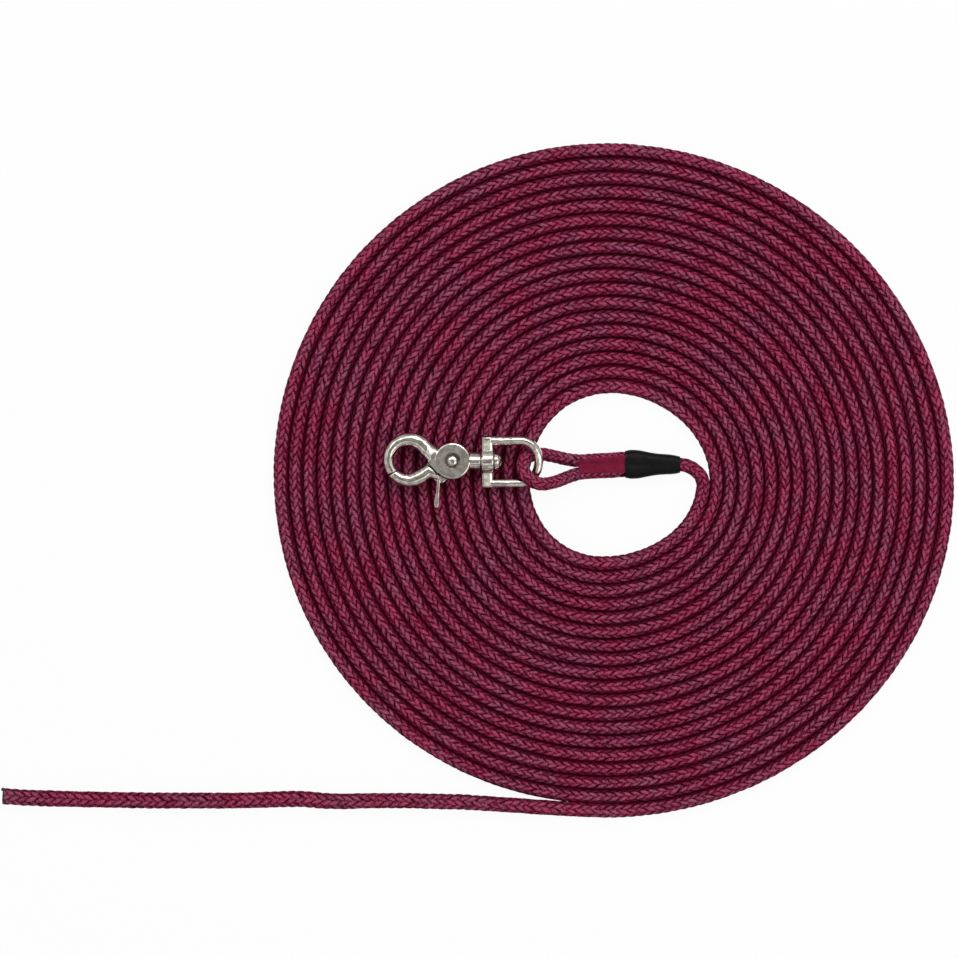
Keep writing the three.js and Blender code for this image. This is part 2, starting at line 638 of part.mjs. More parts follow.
function bail() {
  const arms = new THREE.CurvePath();
  const armStart = BAIL_BASE_X + BAIL_BASE_DEPTH / 2;
  const bow = Array.from({ length: 17 }, (_, i) => {
    const turn = (Math.PI * i) / 16 - Math.PI / 2;
    return new THREE.Vector3(ARM_END_X + BOW_REACH * Math.cos(turn), BAIL_HALF_WIDTH * Math.sin(turn), 0);
  });
  arms.add(new THREE.LineCurve3(new THREE.Vector3(armStart, -BAIL_HALF_WIDTH, 0), bow[0]));
  arms.add(new THREE.CatmullRomCurve3(bow));
  arms.add(new THREE.LineCurve3(bow[16], new THREE.Vector3(armStart, BAIL_HALF_WIDTH, 0)));
  const section = Array.from({ length: WIRE_SIDES }, (_, i) => new THREE.Vector2(...polar(0, 0, BAIL_WIRE_RADIUS,
    (360 * (i + 0.5)) / WIRE_SIDES)));
  const wire = new THREE.ExtrudeGeometry(new THREE.Shape(section), { steps: WIRE_STEPS, extrudePath: arms });
  const barEnd = BAIL_HALF_WIDTH + BAIL_BASE_OVERHANG;
  const halfBar = BAIL_BASE_THICKNESS / 2;
  const corner = BAIL_BASE_THICKNESS / 4;
  const bar = plate([
    [-barEnd, corner - halfBar], [corner - barEnd, -halfBar], [barEnd - corner, -halfBar],
    [barEnd, corner - halfBar], [barEnd, halfBar - corner], [barEnd - corner, halfBar],
    [corner - barEnd, halfBar], [-barEnd, halfBar - corner],
  ], BAIL_BASE_DEPTH);
  const across = new THREE.Matrix4().makeBasis(
    new THREE.Vector3(0, 1, 0), new THREE.Vector3(0, 0, 1), new THREE.Vector3(1, 0, 0),
  );
  bar.applyMatrix4(across).translate(BAIL_BASE_X + BAIL_BASE_DEPTH / 2, 0, 0);
  const barrel = rodAlongX(BARREL_RADIUS, BAIL_BASE_X, BAIL_BASE_X + BAIL_BASE_DEPTH, 32, BARREL_EDGE);
  const bore = rodAlongX(PIN_RADIUS + BORE_CLEARANCE, BAIL_BASE_X - OVERRUN,
    BAIL_BASE_X + BAIL_BASE_DEPTH + OVERRUN, 20);
  return geometryOf(joined(solidOf(wire), solidOf(bar), solidOf(barrel)).subtract(solidOf(bore)));
}

// The swivel pin: its shank is fast in the hook's neck, and its domed head turns against the barrel.
function swivelPin() {
  const headStart = BAIL_BASE_X + BAIL_BASE_DEPTH + JOINT_GAP;
  const shankStart = NECK_END_X - PIN_DEPTH + JOINT_GAP;
  const dome = domeProfile(PIN_HEAD_RADIUS, PIN_HEAD_LENGTH, 5).map(([radius, height]) => [radius, headStart + height]);
  return turned([
    [0, shankStart], [PIN_RADIUS, shankStart], [PIN_RADIUS, headStart], [PIN_HEAD_RADIUS, headStart], ...dome,
  ].map(([radius, height]) => [Math.max(radius, 0), height]), 28).rotateY(Math.PI / 2);
}

// The assembly

const bailGroup = new THREE.Group();
bailGroup.rotation.x = radians(BAIL_ROLL_DEGREES);
bailGroup.add(meshNamed('bail', bail(), nickel));

const hookGroup = new THREE.Group();
hookGroup.position.set(HOOK_X, HOOK_Y, HOOK_Z);
hookGroup.add(
  bailGroup,
  meshNamed('hook_body', hookBody(), nickel),
  meshNamed('gate', gate(), nickel),
  meshNamed('gate_rivet', gateRivet(), nickel),
  meshNamed('gate_spring', gateSpring(), steel),
  meshNamed('swivel_pin', swivelPin(), nickel),
);

const leash = new THREE.Group();
leash.add(
  ropeCoil,
  meshNamed('rope_tail', ropeTail(), ropeRed),
  meshNamed('rope_lead', ropeLead(), ropeRed),
  meshNamed('rope_eye', ropeEye(), ropeRed),
  meshNamed('needle_thread', stitching(SEAM_HEIGHT + threadOffset, STITCH_REACH), threadRed),
  meshNamed('bobbin_thread', stitching(SEAM_HEIGHT - threadOffset, STITCH_REACH), threadRed),
  meshNamed('shrink_sleeve', shrinkSleeve(), sleeveBlack),
  hookGroup,
);

// The origin is on the floor, under the middle of the whole model's box.
const box = new THREE.Box3().setFromObject(leash);
const middle = box.getCenter(new THREE.Vector3());
leash.position.set(-middle.x, -middle.y, -box.min.z);

const placed = (x, y, z) => new THREE.Vector3(x, y, z).add(leash.position).toArray().map((v) => v.toFixed(3)).join(', ');
console.log(`coil centre: ${placed(0, 0, 0)}`);
console.log(`bow axis: ${placed(HOOK_X + ARM_END_X + BOW_REACH, HOOK_Y, HOOK_Z)}`);
console.log(`gate axis: ${placed(HOOK_X, HOOK_Y, HOOK_Z)}`);

export default leash;
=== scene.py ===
# %% [markdown]
# # A coiled rope leash, from its frame to its finish
# The leash is ten metres of thin braided rope laid down as a flat coil. The coil's inner end is sewn into
# an eye, and the eye holds a bail with a swivelling scissor hook. The CAD model gives every size and place.
# This lesson dresses it: a real braid on the rope, castings with soft edges, and a finish on every surface.

# %% Load the frame
import math

import bmesh
import bpy
import numpy as np
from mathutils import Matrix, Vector
from mathutils.bvhtree import BVHTree


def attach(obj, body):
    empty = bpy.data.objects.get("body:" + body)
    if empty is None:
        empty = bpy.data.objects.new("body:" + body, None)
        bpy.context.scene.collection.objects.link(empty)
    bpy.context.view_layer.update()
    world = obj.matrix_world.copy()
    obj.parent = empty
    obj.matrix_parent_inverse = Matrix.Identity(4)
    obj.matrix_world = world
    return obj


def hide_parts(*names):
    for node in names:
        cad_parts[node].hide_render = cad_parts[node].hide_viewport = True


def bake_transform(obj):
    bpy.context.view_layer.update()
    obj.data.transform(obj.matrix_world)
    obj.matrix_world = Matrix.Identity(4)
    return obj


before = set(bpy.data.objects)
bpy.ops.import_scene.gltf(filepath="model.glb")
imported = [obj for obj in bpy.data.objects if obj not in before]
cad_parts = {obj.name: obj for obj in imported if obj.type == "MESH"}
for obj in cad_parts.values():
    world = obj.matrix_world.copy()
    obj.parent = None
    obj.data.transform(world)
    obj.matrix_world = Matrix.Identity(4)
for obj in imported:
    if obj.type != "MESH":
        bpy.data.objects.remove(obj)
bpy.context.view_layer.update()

MM = 0.001
COIL_CENTRE = np.array([54.130, -0.364, 0.0])

# %% [markdown]
# ## The camera
# The photograph looks straight down on the coil. Its scale is 0.3975 mm a pixel at the rope's height, and
# the coil's centre sits at pixel 613, 481 of a picture 957 pixels wide. A long lens far above keeps the
# hook, which stands a little higher than the rope, from growing in the picture.

# %% Put the camera where the photographer stood
PIXEL = 0.3975
PICTURE = 957
COIL_PIXEL = (613, 481)
LENS_HEIGHT = 2.2
ROPE_HEIGHT = 0.004
SENSOR = 36


def at_pixel(px, py):
    """The place on the floor, in millimetres from the coil's centre, that a pixel of the photograph shows."""
    return (px - COIL_PIXEL[0]) * PIXEL, (COIL_PIXEL[1] - py) * PIXEL


middle_x, middle_y = at_pixel(PICTURE / 2, PICTURE / 2)
camera = bpy.data.objects.new("camera", bpy.data.cameras.new("camera"))
bpy.context.collection.objects.link(camera)
camera.location = ((middle_x + COIL_CENTRE[0]) * MM, (middle_y + COIL_CENTRE[1]) * MM, LENS_HEIGHT)
camera.data.sensor_width = SENSOR
camera.data.lens = SENSOR * (LENS_HEIGHT - ROPE_HEIGHT) / (PICTURE * PIXEL * MM)
camera.data.clip_end = 10
bpy.context.scene.camera = camera
bpy.context.scene.view_settings.view_transform = "Standard"
print("lens, mm:", round(camera.data.lens, 1))

# %% [markdown]
# ## The studio
# A product shot like this one stands on a white sweep that lights the picture to near white. Two round lamps
# give the rope its soft shading. Polished metal shows whatever is above it, so the sky has dim and bright
# bands and three soft boxes: a strong one towards the picture's upper edge and one at each side. The camera
# sees none of that, only white. The floor glows for the camera and for mirrors, but not quite fully, so that
# it keeps the object's faint shadow.

# %% Hang the lamps and light the sky
LAMPS = {"key_lamp": ((0.25, 0.95, 1.25), 0.6, 6.5), "fill_lamp": ((0.9, -0.5, 1.2), 0.9, 3.5)}
AIM = Vector((0.02, 0, 0))
for name, (place, size, power) in LAMPS.items():
    data = bpy.data.lights.new(name, "AREA")
    data.shape, data.size, data.energy = "DISK", size, power
    lamp = bpy.data.objects.new(name, data)
    bpy.context.collection.objects.link(lamp)
    lamp.location = place
    lamp.rotation_euler = (AIM - Vector(place)).to_track_quat("-Z", "Y").to_euler()

world = bpy.data.worlds.new("studio")
bpy.context.scene.world = world
world.use_nodes = True
sky = world.node_tree
sky.nodes.clear()
sky_out, sky_mix, sky_seen, sky_light, sky_path, sky_place, sky_axes, sky_bands = (
    sky.nodes.new("ShaderNode" + kind) for kind in ("OutputWorld", "MixShader", "Background", "Background",
                                                    "LightPath", "TexCoord", "SeparateXYZ", "ValToRGB"))
sky.links.new(sky_place.outputs["Generated"], sky_axes.inputs[0])


def math_node(tree, operation, first, second=None, third=None):
    """A Math node on up to three numbers or sockets."""
    node = tree.nodes.new("ShaderNodeMath")
    node.operation = operation
    for slot, value in enumerate((first, second, third)):
        if value is None:
            continue
        if isinstance(value, (int, float)):
            node.inputs[slot].default_value = value
        else:
            tree.links.new(value, node.inputs[slot])
    return node.outputs[0]


def eased_node(tree, value, start, end, first, last):
    """A smooth step from first to last while the value goes from start to end."""
    node = tree.nodes.new("ShaderNodeMapRange")
    node.interpolation_type = "SMOOTHSTEP"
    for label, number in (("From Min", start), ("From Max", end), ("To Min", first), ("To Max", last)):
        node.inputs[label].default_value = number
    tree.links.new(value, node.inputs["Value"])
    return node.outputs[0]


HORIZON = 0.05
up = math_node(sky, "MAXIMUM", sky_axes.outputs["Z"], HORIZON)
aside = math_node(sky, "DIVIDE", sky_axes.outputs["X"], up)
ahead = math_node(sky, "DIVIDE", sky_axes.outputs["Y"], up)
# Each band is a height, 0 at the horizon and 1 straight up, and its light.
SKY_BANDS = [(0.0, 0.25), (0.28, 0.30), (0.35, 0.70), (0.60, 0.72), (0.66, 0.20), (0.73, 0.20), (0.78, 0.95),
             (0.92, 0.95), (0.95, 0.14), (0.975, 0.14), (0.985, 0.40), (1.0, 0.40)]
# Each box is a place on a ceiling one unit up, half its width and depth, and its light.
BOXES = [(0.0, 0.55, 0.9, 0.25, 2.6), (-2.4, 0.1, 0.7, 1.2, 1.3), (2.4, 0.2, 0.7, 1.2, 1.3)]
BOX_EDGE = 0.05
while len(sky_bands.color_ramp.elements) < len(SKY_BANDS):
    sky_bands.color_ramp.elements.new(0.5)
for stop, (place, light) in zip(sky_bands.color_ramp.elements, SKY_BANDS):
    stop.position = place
    stop.color = (light, light, light, 1)
sky.links.new(sky_axes.outputs["Z"], sky_bands.inputs[0])
level = sky_bands.outputs[0]
for x, y, half_x, half_y, strength in BOXES:
    off_x = math_node(sky, "ABSOLUTE", math_node(sky, "SUBTRACT", aside, x))
    off_y = math_node(sky, "ABSOLUTE", math_node(sky, "SUBTRACT", ahead, y))
    in_x = eased_node(sky, off_x, half_x - BOX_EDGE, half_x + BOX_EDGE, strength, 0.0)
    in_y = eased_node(sky, off_y, half_y - BOX_EDGE, half_y + BOX_EDGE, 1.0, 0.0)
    level = math_node(sky, "MAXIMUM", level, math_node(sky, "MULTIPLY", in_x, in_y))
sky_seen.inputs["Color"].default_value = (1, 1, 1, 1)
sky.links.new(level, sky_light.inputs["Strength"])
sky.links.new(sky_path.outputs["Is Camera Ray"], sky_mix.inputs[0])
sky.links.new(sky_light.outputs[0], sky_mix.inputs[1])
sky.links.new(sky_seen.outputs[0], sky_mix.inputs[2])
sky.links.new(sky_mix.outputs[0], sky_out.inputs[0])
print("soft boxes in the sky:", len(BOXES))

# %% Lay the white floor
def new_material(name):
    """A new material, its node tree and its Principled shader."""
    material = bpy.data.materials.new(name)
    material.use_nodes = True
    return material, material.node_tree, material.node_tree.nodes["Principled BSDF"]


FLOOR, FLOOR_DROP, GLOW_SHARE = 2.5, 0.00005, 0.94
floor_mesh = bpy.data.meshes.new("floor")
corners = [(x * FLOOR, y * FLOOR, 0) for x, y in ((-1, -1), (1, -1), (1, 1), (-1, 1))]
floor_mesh.from_pydata(corners, [], [(0, 1, 2, 3)])
floor = bpy.data.objects.new("floor", floor_mesh)
bpy.context.collection.objects.link(floor)
floor.location = (0, 0, -FLOOR_DROP)
white, tree, principled = new_material("white_sweep")
principled.inputs["Base Color"].default_value = (0.86, 0.86, 0.86, 1)
principled.inputs["Roughness"].default_value = 0.9
glow = tree.nodes.new("ShaderNodeEmission")
glow.inputs["Color"].default_value = (1, 1, 1, 1)
path = tree.nodes.new("ShaderNodeLightPath")
seen = tree.nodes.new("ShaderNodeMixShader")
mirrored = math_node(tree, "MAXIMUM", path.outputs["Is Glossy Ray"], path.outputs["Is Transmission Ray"])
shown = math_node(tree, "MAXIMUM", path.outputs["Is Camera Ray"], mirrored)
tree.links.new(math_node(tree, "MULTIPLY", shown, GLOW_SHARE), seen.inputs[0])
tree.links.new(principled.outputs[0], seen.inputs[1])
tree.links.new(glow.outputs[0], seen.inputs[2])
tree.links.new(seen.outputs[0], tree.nodes["Material Output"].inputs[0])
floor_mesh.materials.append(white)
print("floor, m:", 2 * FLOOR)

# %% [markdown]
# ## The rope's route
# A flat coil is a spiral whose radius grows by one rope width each turn. A hand-laid one isn't a perfect
# circle: its hole and its rim are each a little off centre, oval and three-cornered. Three waves say so,
# and they fade from the hole's shape to the rim's on the way out. The law is the CAD model's own.

# %% Write the coil's law
COIL_TURNS, COIL_START = 18.27, 2.0
FIRST_RADIUS, PITCH = 33.56, 5.5
HOLE = ((1.1, -59), (1.03, -8), (0.79, 16))
RIM = ((1.94, -133), (1.36, 16), (0.35, 34))


def waves(angle, shape):
    """A shift, an oval and a triangle wave, each with a size and an angle of its own."""
    return sum(size * np.cos((i + 1) * angle - math.radians(turn)) for i, (size, turn) in enumerate(shape))


def coil_radius(turns):
    """The rope's distance from the coil's centre, after so many turns."""
    angle = 2 * math.pi * turns
    outward = turns / COIL_TURNS
    return FIRST_RADIUS + PITCH * turns + waves(angle, HOLE) * (1 - outward) + waves(angle, RIM) * outward


def coil_point(turns, height):
    angle = 2 * math.pi * turns
    radius = coil_radius(turns)
    return np.stack([radius * np.cos(angle), -radius * np.sin(angle), np.full_like(radius, height)], 1)


first_turn = COIL_START / 360
last_turn = first_turn + COIL_TURNS
print("radius of the hole and the rim, mm:", coil_radius(np.array([first_turn, last_turn])).round(1))

# %% [markdown]
# The stretches that aren't coiled are measured points: the eye's loop over and under the bow, the seam, the
# sharp bend from the sleeve into the coil, and the tail. A centripetal Catmull-Rom curve runs through such
# points without loops or overshoot, and the result is cut into equal steps along its length.

# %% Measure the rope's other stretches
SEAM_HEIGHT, BOW_HEIGHT = 3.3, 10.8
EYE = [
    (8.4, 4.14, 0), (4, 4.1, 0), (-2, 3.72, 0), (-8, 3.4, 0), (-13, 3, 0), (-16, 2.3, 0.08),
    (-18.6, 1.3, 0.27), (-21.4, 0.2, 0.55), (-24.3, -0.7, 0.85), (-27.3, -1.2, 1.15), (-30.2, -0.9, 1.36),
    (-32.9, 0.5, 1.41), (-35.1, 3, 1.28), (-35.9, 5.9, 1.03), (-35, 8.6, 0.77), (-32.4, 10.2, 0.53),
    (-28.8, 10.7, 0.32), (-24.8, 10.1, 0.15), (-21.2, 9.3, 0.04), (-17.5, 8.5, 0), (-13, 8, 0),
    (-8, 8.4, 0), (-2, 8.72, 0), (4, 9.05, 0), (9, 8.95, 0), (10.9, 8.55, 0),
]
SLEEVE_RUN = [(11.5, 8.4), (14, 7.75), (17, 7.15), (20, 6.8), (23.5, 6.64), (26.6, 6.55)]
BEND = [(28.9, 6.2, 3.25), (31.2, 5.3, 3.1), (33.2, 3.9, 2.95), (34.9, 2, 2.8)]
TAIL = [
    (-34.5, -129.3), (-44.9, -128.6), (-59.2, -127.7), (-67.2, -127.5), (-83.1, -127.1), (-99, -127.2),
    (-106.9, -127.4), (-114.9, -127.2), (-122.8, -126.5), (-130.8, -126.5), (-138.7, -126.8),
    (-154.6, -127.1), (-170.5, -127.1), (-186.4, -127), (-202.3, -126.7), (-218.2, -126.4),
    (-234.1, -125.9), (-242.5, -125.4),
]
COIL_HEIGHT, TAIL_HEIGHT = 2.75, 3.0


def smooth_through(points, fineness=10):
    """A centripetal Catmull-Rom curve through the points."""
    p = np.asarray(points, float)
    p = np.vstack([2 * p[0] - p[1], p, 2 * p[-1] - p[-2]])
    knots = np.concatenate([[0], np.cumsum(np.linalg.norm(np.diff(p, axis=0), axis=1) ** 0.5)])
    out = []
    for i in range(1, len(p) - 2):
        t = np.linspace(knots[i], knots[i + 1], fineness, endpoint=False)[:, None]
        k = knots[i - 1:i + 3]
        a = [p[i - 1 + j] + (p[i + j] - p[i - 1 + j]) * (t - k[j]) / (k[j + 1] - k[j]) for j in range(3)]
        b = [a[j] + (a[j + 1] - a[j]) * (t - k[j]) / (k[j + 2] - k[j]) for j in range(2)]
        out.append(b[0] + (b[1] - b[0]) * (t - k[1]) / (k[2] - k[1]))
    return np.vstack([*out, p[-2][None]])


def even_steps(points, step):
    """The same line, cut into equal steps along its length."""
    along = np.concatenate([[0], np.cumsum(np.linalg.norm(np.diff(points, axis=0), axis=1))])
    cuts = np.linspace(0, along[-1], int(round(along[-1] / step)) + 1)
    return np.stack([np.interp(cuts, along, points[:, i]) for i in range(3)], 1)


STEP, POINTS_PER_TURN = 0.5, 72
eye_points = [(x, y, SEAM_HEIGHT + (BOW_HEIGHT - SEAM_HEIGHT) * rise) for x, y, rise in EYE]
eye_line = even_steps(smooth_through(eye_points), STEP)
coiled = coil_point(np.arange(first_turn, last_turn - 0.01, 1 / POINTS_PER_TURN), COIL_HEIGHT)
run_line = even_steps(smooth_through([
    *[(x, y, SEAM_HEIGHT) for x, y in SLEEVE_RUN], *BEND, *coiled, *[(x, y, TAIL_HEIGHT) for x, y in TAIL],
]), STEP)
run_length = np.linalg.norm(np.diff(run_line, axis=0), axis=1).sum()
print("eye, mm:", STEP * (len(eye_line) - 1), " sleeve to cut end, mm:", round(run_length, 1))

# %% [markdown]
# To lay something along the rope, each point of the route needs a frame: which way is sideways and which way
# is up. On the floor, up is simply +Z. The eye's loop climbs and turns over, so its frame is carried from
# step to step without any twist of its own, as a real rope's surface is.

# %% Carry a frame along each route
class Route:
    """A line cut into even steps, with a sideways and an up direction at each."""

    def __init__(self, line, width, height, roll, packed):
        self.line = line
        self.step = np.linalg.norm(np.diff(line, axis=0), axis=1).mean()
        self.length = self.step * (len(line) - 1)
        along = np.gradient(line, axis=0)
        along /= np.linalg.norm(along, axis=1)[:, None]
        up = np.empty_like(line)
        up[0] = (0, 0, 1)
        for i in range(len(line)):
            up[i] = up[max(i - 1, 0)]
            up[i] -= along[i] * (up[i] @ along[i])
            up[i] /= np.linalg.norm(up[i])
        self.along, self.up = along, up
        self.side = np.cross(along, up)
        distance = np.arange(len(line)) * self.step
        self.width, self.height, self.roll = width(distance), height(distance), roll(distance)
        self.packed = packed(distance)

    def at(self, distance, values):
        """Values of the route at some distances along it."""
        place = np.clip(distance / self.step, 0, len(self.line) - 1.001)
        low = place.astype(int)
        part = place - low
        if values.ndim == 2:
            part = part[:, None]
        return values[low] * (1 - part) + values[low + 1] * part

    def lay(self, sideways, upwards, distance):
        """Points beside a straight unit rope of radius 1, laid along this route, in millimetres."""
        roll = self.at(distance, self.roll)
        x = (sideways * np.cos(roll) - upwards * np.sin(roll)) * self.at(distance, self.width) / 2
        y = (sideways * np.sin(roll) + upwards * np.cos(roll)) * self.at(distance, self.height) / 2
        over = np.clip(distance - self.length, 0, None) + np.clip(distance, None, 0)
        return (self.at(distance, self.line) + self.at(distance, self.side) * x[:, None]
                + self.at(distance, self.up) * y[:, None] + self.at(distance, self.along) * over[:, None])

    def chink_shade(self, sideways, upwards, distance):
        """How deep a point lies between the turns, which the yarn paints as shade: 0 on the rope's crown, 1
        at mid height. Side is +1 towards the coil's middle and -1 away from it, and each side has a neighbour
        of its own."""
        roll = self.at(distance, self.roll)
        height = sideways * np.sin(roll) + upwards * np.cos(roll)
        side = sideways * np.cos(roll) - upwards * np.sin(roll)
        inner, outer = self.at(distance, self.packed[0]), self.at(distance, self.packed[1])
        return np.clip(1 - height, 0, 1) * np.where(side > 0, inner, outer)


def eased(distance, start, end):
    """0 before start, 1 after end, and an easy curve between them."""
    t = np.clip((distance - start) / (end - start), 0, 1)
    return t * t * (3 - 2 * t)


# %% [markdown]
# Rope isn't hard: in the coil each turn is pressed between its neighbours and by its own weight, so it is
# narrower than the free tail, and the eye and the bend behind the sleeve are pulled thinner still. It also
# rolls a little as it is laid down, which is why its herringbone shows two rows in one place and three in
# another. Slow waves give it that roll. Where a neighbour lies close, little light comes down between the
# two, so each side of the rope also knows how far it is hidden, and the yarn paints shade there, low on
# that side. A side with no neighbour still gets some of that painted shade.

# %% Say how wide and how rolled the rope is
ROPE_WIDTH, TAIL_WIDTH, PRESSED_HEIGHT, LEAD_WIDTH, EYE_WIDTH = 6.0, 6.3, 5.5, 5.7, 5.4
TOUCH = 1.06
FIRST_TURN_MORE, FIRST_TURN_ENDS = 0.35, (0.85, 1.1)
# Stretches over which the rope changes, as two distances from one end of the coil or of the rope
LEAD_WIDENS, COIL_LETS_GO, TAIL_RUN = (10, 60), (-40, 20), 222.5
TAIL_END_MORE, TAIL_END_GROWS = 0.35, (-160, -115)
OUTSIDE_STARTS, INSIDE_ENDS, NEIGHBOUR_FADE = (8, 40), (-60, 10), (-12, 12)
ROLL_MIDDLE = 0.39
ROLL_WAVES = [(0.30, 61, 1), (0.22, 23, 2), (0.45, 390, 4), (0.6, 1150, 0)]
# How much painted shade a side with no neighbour still gets, along the run and in the eye.
OPEN_SIDE_SHADE, EYE_SIDE_SHADE = 0.5, 0.3
turns_at = np.linspace(first_turn, last_turn, 4000)
coil_steps = np.linalg.norm(np.diff(coil_point(turns_at, 0), axis=0), axis=1)
coil_lengths = np.concatenate([[0], np.cumsum(coil_steps)])
coil_to = run_length - TAIL_RUN
coil_from = coil_to - coil_lengths[-1]


def change(distance, place, stretch):
    """0 before a stretch and 1 after it. The stretch is given from a place on."""
    return eased(distance, place + stretch[0], place + stretch[1])


def run_width(distance):
    turns = np.interp(distance - coil_from, coil_lengths, turns_at)
    pitch = (coil_radius(turns + 1) - coil_radius(turns - 1)) / 2
    pressed = pitch * TOUCH + FIRST_TURN_MORE * (1 - change(turns, 0, FIRST_TURN_ENDS))
    into, freed = change(distance, coil_from, LEAD_WIDENS), change(distance, coil_to, COIL_LETS_GO)
    free = TAIL_WIDTH + TAIL_END_MORE * change(distance, run_length, TAIL_END_GROWS)
    return (LEAD_WIDTH * (1 - into) + pressed * into) * (1 - freed) + free * freed


def run_height(distance):
    freed = change(distance, coil_to, COIL_LETS_GO)
    return PRESSED_HEIGHT * (1 - freed) + ROPE_WIDTH * freed


def run_roll(distance):
    return ROLL_MIDDLE + sum(size * np.sin(distance / length + start) for size, length, start in ROLL_WAVES)


def run_packed(distance):
    """How much the neighbouring turns hide on the inner and the outer side, for the core's width and the
    yarn's painted shade. The first turn has no neighbour inside it, and the last none outside."""
    first, last = coil_lengths[np.searchsorted(turns_at, (1.0, COIL_TURNS - 0.95))] + coil_from
    inner = change(distance, first, NEIGHBOUR_FADE) * (1 - change(distance, coil_to, INSIDE_ENDS))
    outer = change(distance, coil_from, OUTSIDE_STARTS) * (1 - change(distance, last, NEIGHBOUR_FADE))
    return OPEN_SIDE_SHADE + (1 - OPEN_SIDE_SHADE) * np.stack([inner, outer])


def eye_width(distance):
    return np.full_like(distance, EYE_WIDTH)


run = Route(run_line, run_width, run_height, run_roll, run_packed)
eye = Route(eye_line, eye_width, eye_width, lambda d: ROLL_MIDDLE + 0 * d,
            lambda d: np.full((2, len(d)), EYE_SIDE_SHADE))
print("coil starts and ends along the run, mm:", round(coil_from), round(coil_to))

# %% [markdown]
# ## The rope's core
# Under the braid of a real rope lies a straight-fibred core. Here it is one closed tube the whole way from
# the sleeve to the cut end. It fills the chinks between the strands, and its rings stand on the rope's true
# centre line.

# %% Sweep the core
def mesh_object(name, vertices, faces):
    """A new mesh object. Its points come in millimetres from the coil's centre and are stored in metres."""
    mesh = bpy.data.meshes.new(name)
    mesh.from_pydata(((np.asarray(vertices, float) + COIL_CENTRE) * MM).tolist(), [], faces)
    mesh.polygons.foreach_set("use_smooth", [True] * len(mesh.polygons))
    mesh.update()
    thing = bpy.data.objects.new(name, mesh)
    bpy.context.collection.objects.link(thing)
    return thing


def tube_faces(rings, sides):
    """The faces of a closed tube whose rings each have so many points."""
    faces = []
    for r in range(rings - 1):
        for s in range(sides):
            a, b = r * sides + s, r * sides + (s + 1) % sides
            faces.append((a, b, b + sides, a + sides))
    faces.append(tuple(range(sides - 1, -1, -1)))
    faces.append(tuple(range((rings - 1) * sides, rings * sides)))
    return faces


CORE_SIDES, CORE_SHARE, TOUCHING_SHARE = 8, 0.8, 0.97
RUN_RING_GAP, EYE_RING_GAP = 1.6, 1.2


def core(name, route, gap):
    """A closed tube inside the braid, with rings a gap apart, and the rings' centres. On a side with a
    neighbour it is wide enough to touch that turn, so that no light comes through between the two."""
    rings = int(route.length / gap) + 1
    distance = np.linspace(0, route.length, rings)
    turn = np.linspace(0, 2 * math.pi, CORE_SIDES, endpoint=False)
    d, t = np.repeat(distance, CORE_SIDES), np.tile(turn, rings)
    packed = np.where(np.cos(t) > 0, route.at(d, route.packed[0]), route.at(d, route.packed[1]))
    wide = CORE_SHARE + (TOUCHING_SHARE - CORE_SHARE) * eased(packed, 0.4, 0.7)
    roll = route.at(d, route.roll)
    x, y = wide * np.cos(t), CORE_SHARE * np.sin(t)
    points = route.lay(x * np.cos(roll) + y * np.sin(roll), y * np.cos(roll) - x * np.sin(roll), d)
    centres = (route.at(distance, route.line) + COIL_CENTRE) * MM
    return mesh_object(name, points, tube_faces(rings, CORE_SIDES)), centres


rope_core, core_path = core("rope_core", run, RUN_RING_GAP)
eye_core = core("eye_core", eye, EYE_RING_GAP)[0]
print("core rings:", len(core_path))

# %% [markdown]
# ## The braid
# The sheath is a sixteen-strand braid. Eight strands wind one way and eight the other, and each passes over
# two and under two. Seen from outside, the rope has eight columns of stitches that lean left and right by
# turns, which reads as a herringbone. One period of the pattern, 3.44 mm long, holds eight stitches: that is
# the cell that repeats, some three thousand times.

# %% Model one stitch and one period of the braid
BRAID_PERIOD = 3.44
BRAID_LEAN = 0.35
COLUMNS = 8
STITCH_FULLNESS = 0.97
STITCH_ALONG = np.array([-1.32, -0.86, -0.3, 0.3, 0.86, 1.32])
STITCH_ACROSS = np.array([-1.0, -0.6, 0.0, 0.6, 1.0])
YARN_RELIEF, DIVE = 0.14, 0.1


def store(mesh, name, values):
    """Stores a number on each point of a mesh."""
    mesh.attributes.new(name, "FLOAT", "POINT").data.foreach_set("value", values.astype(np.float32))


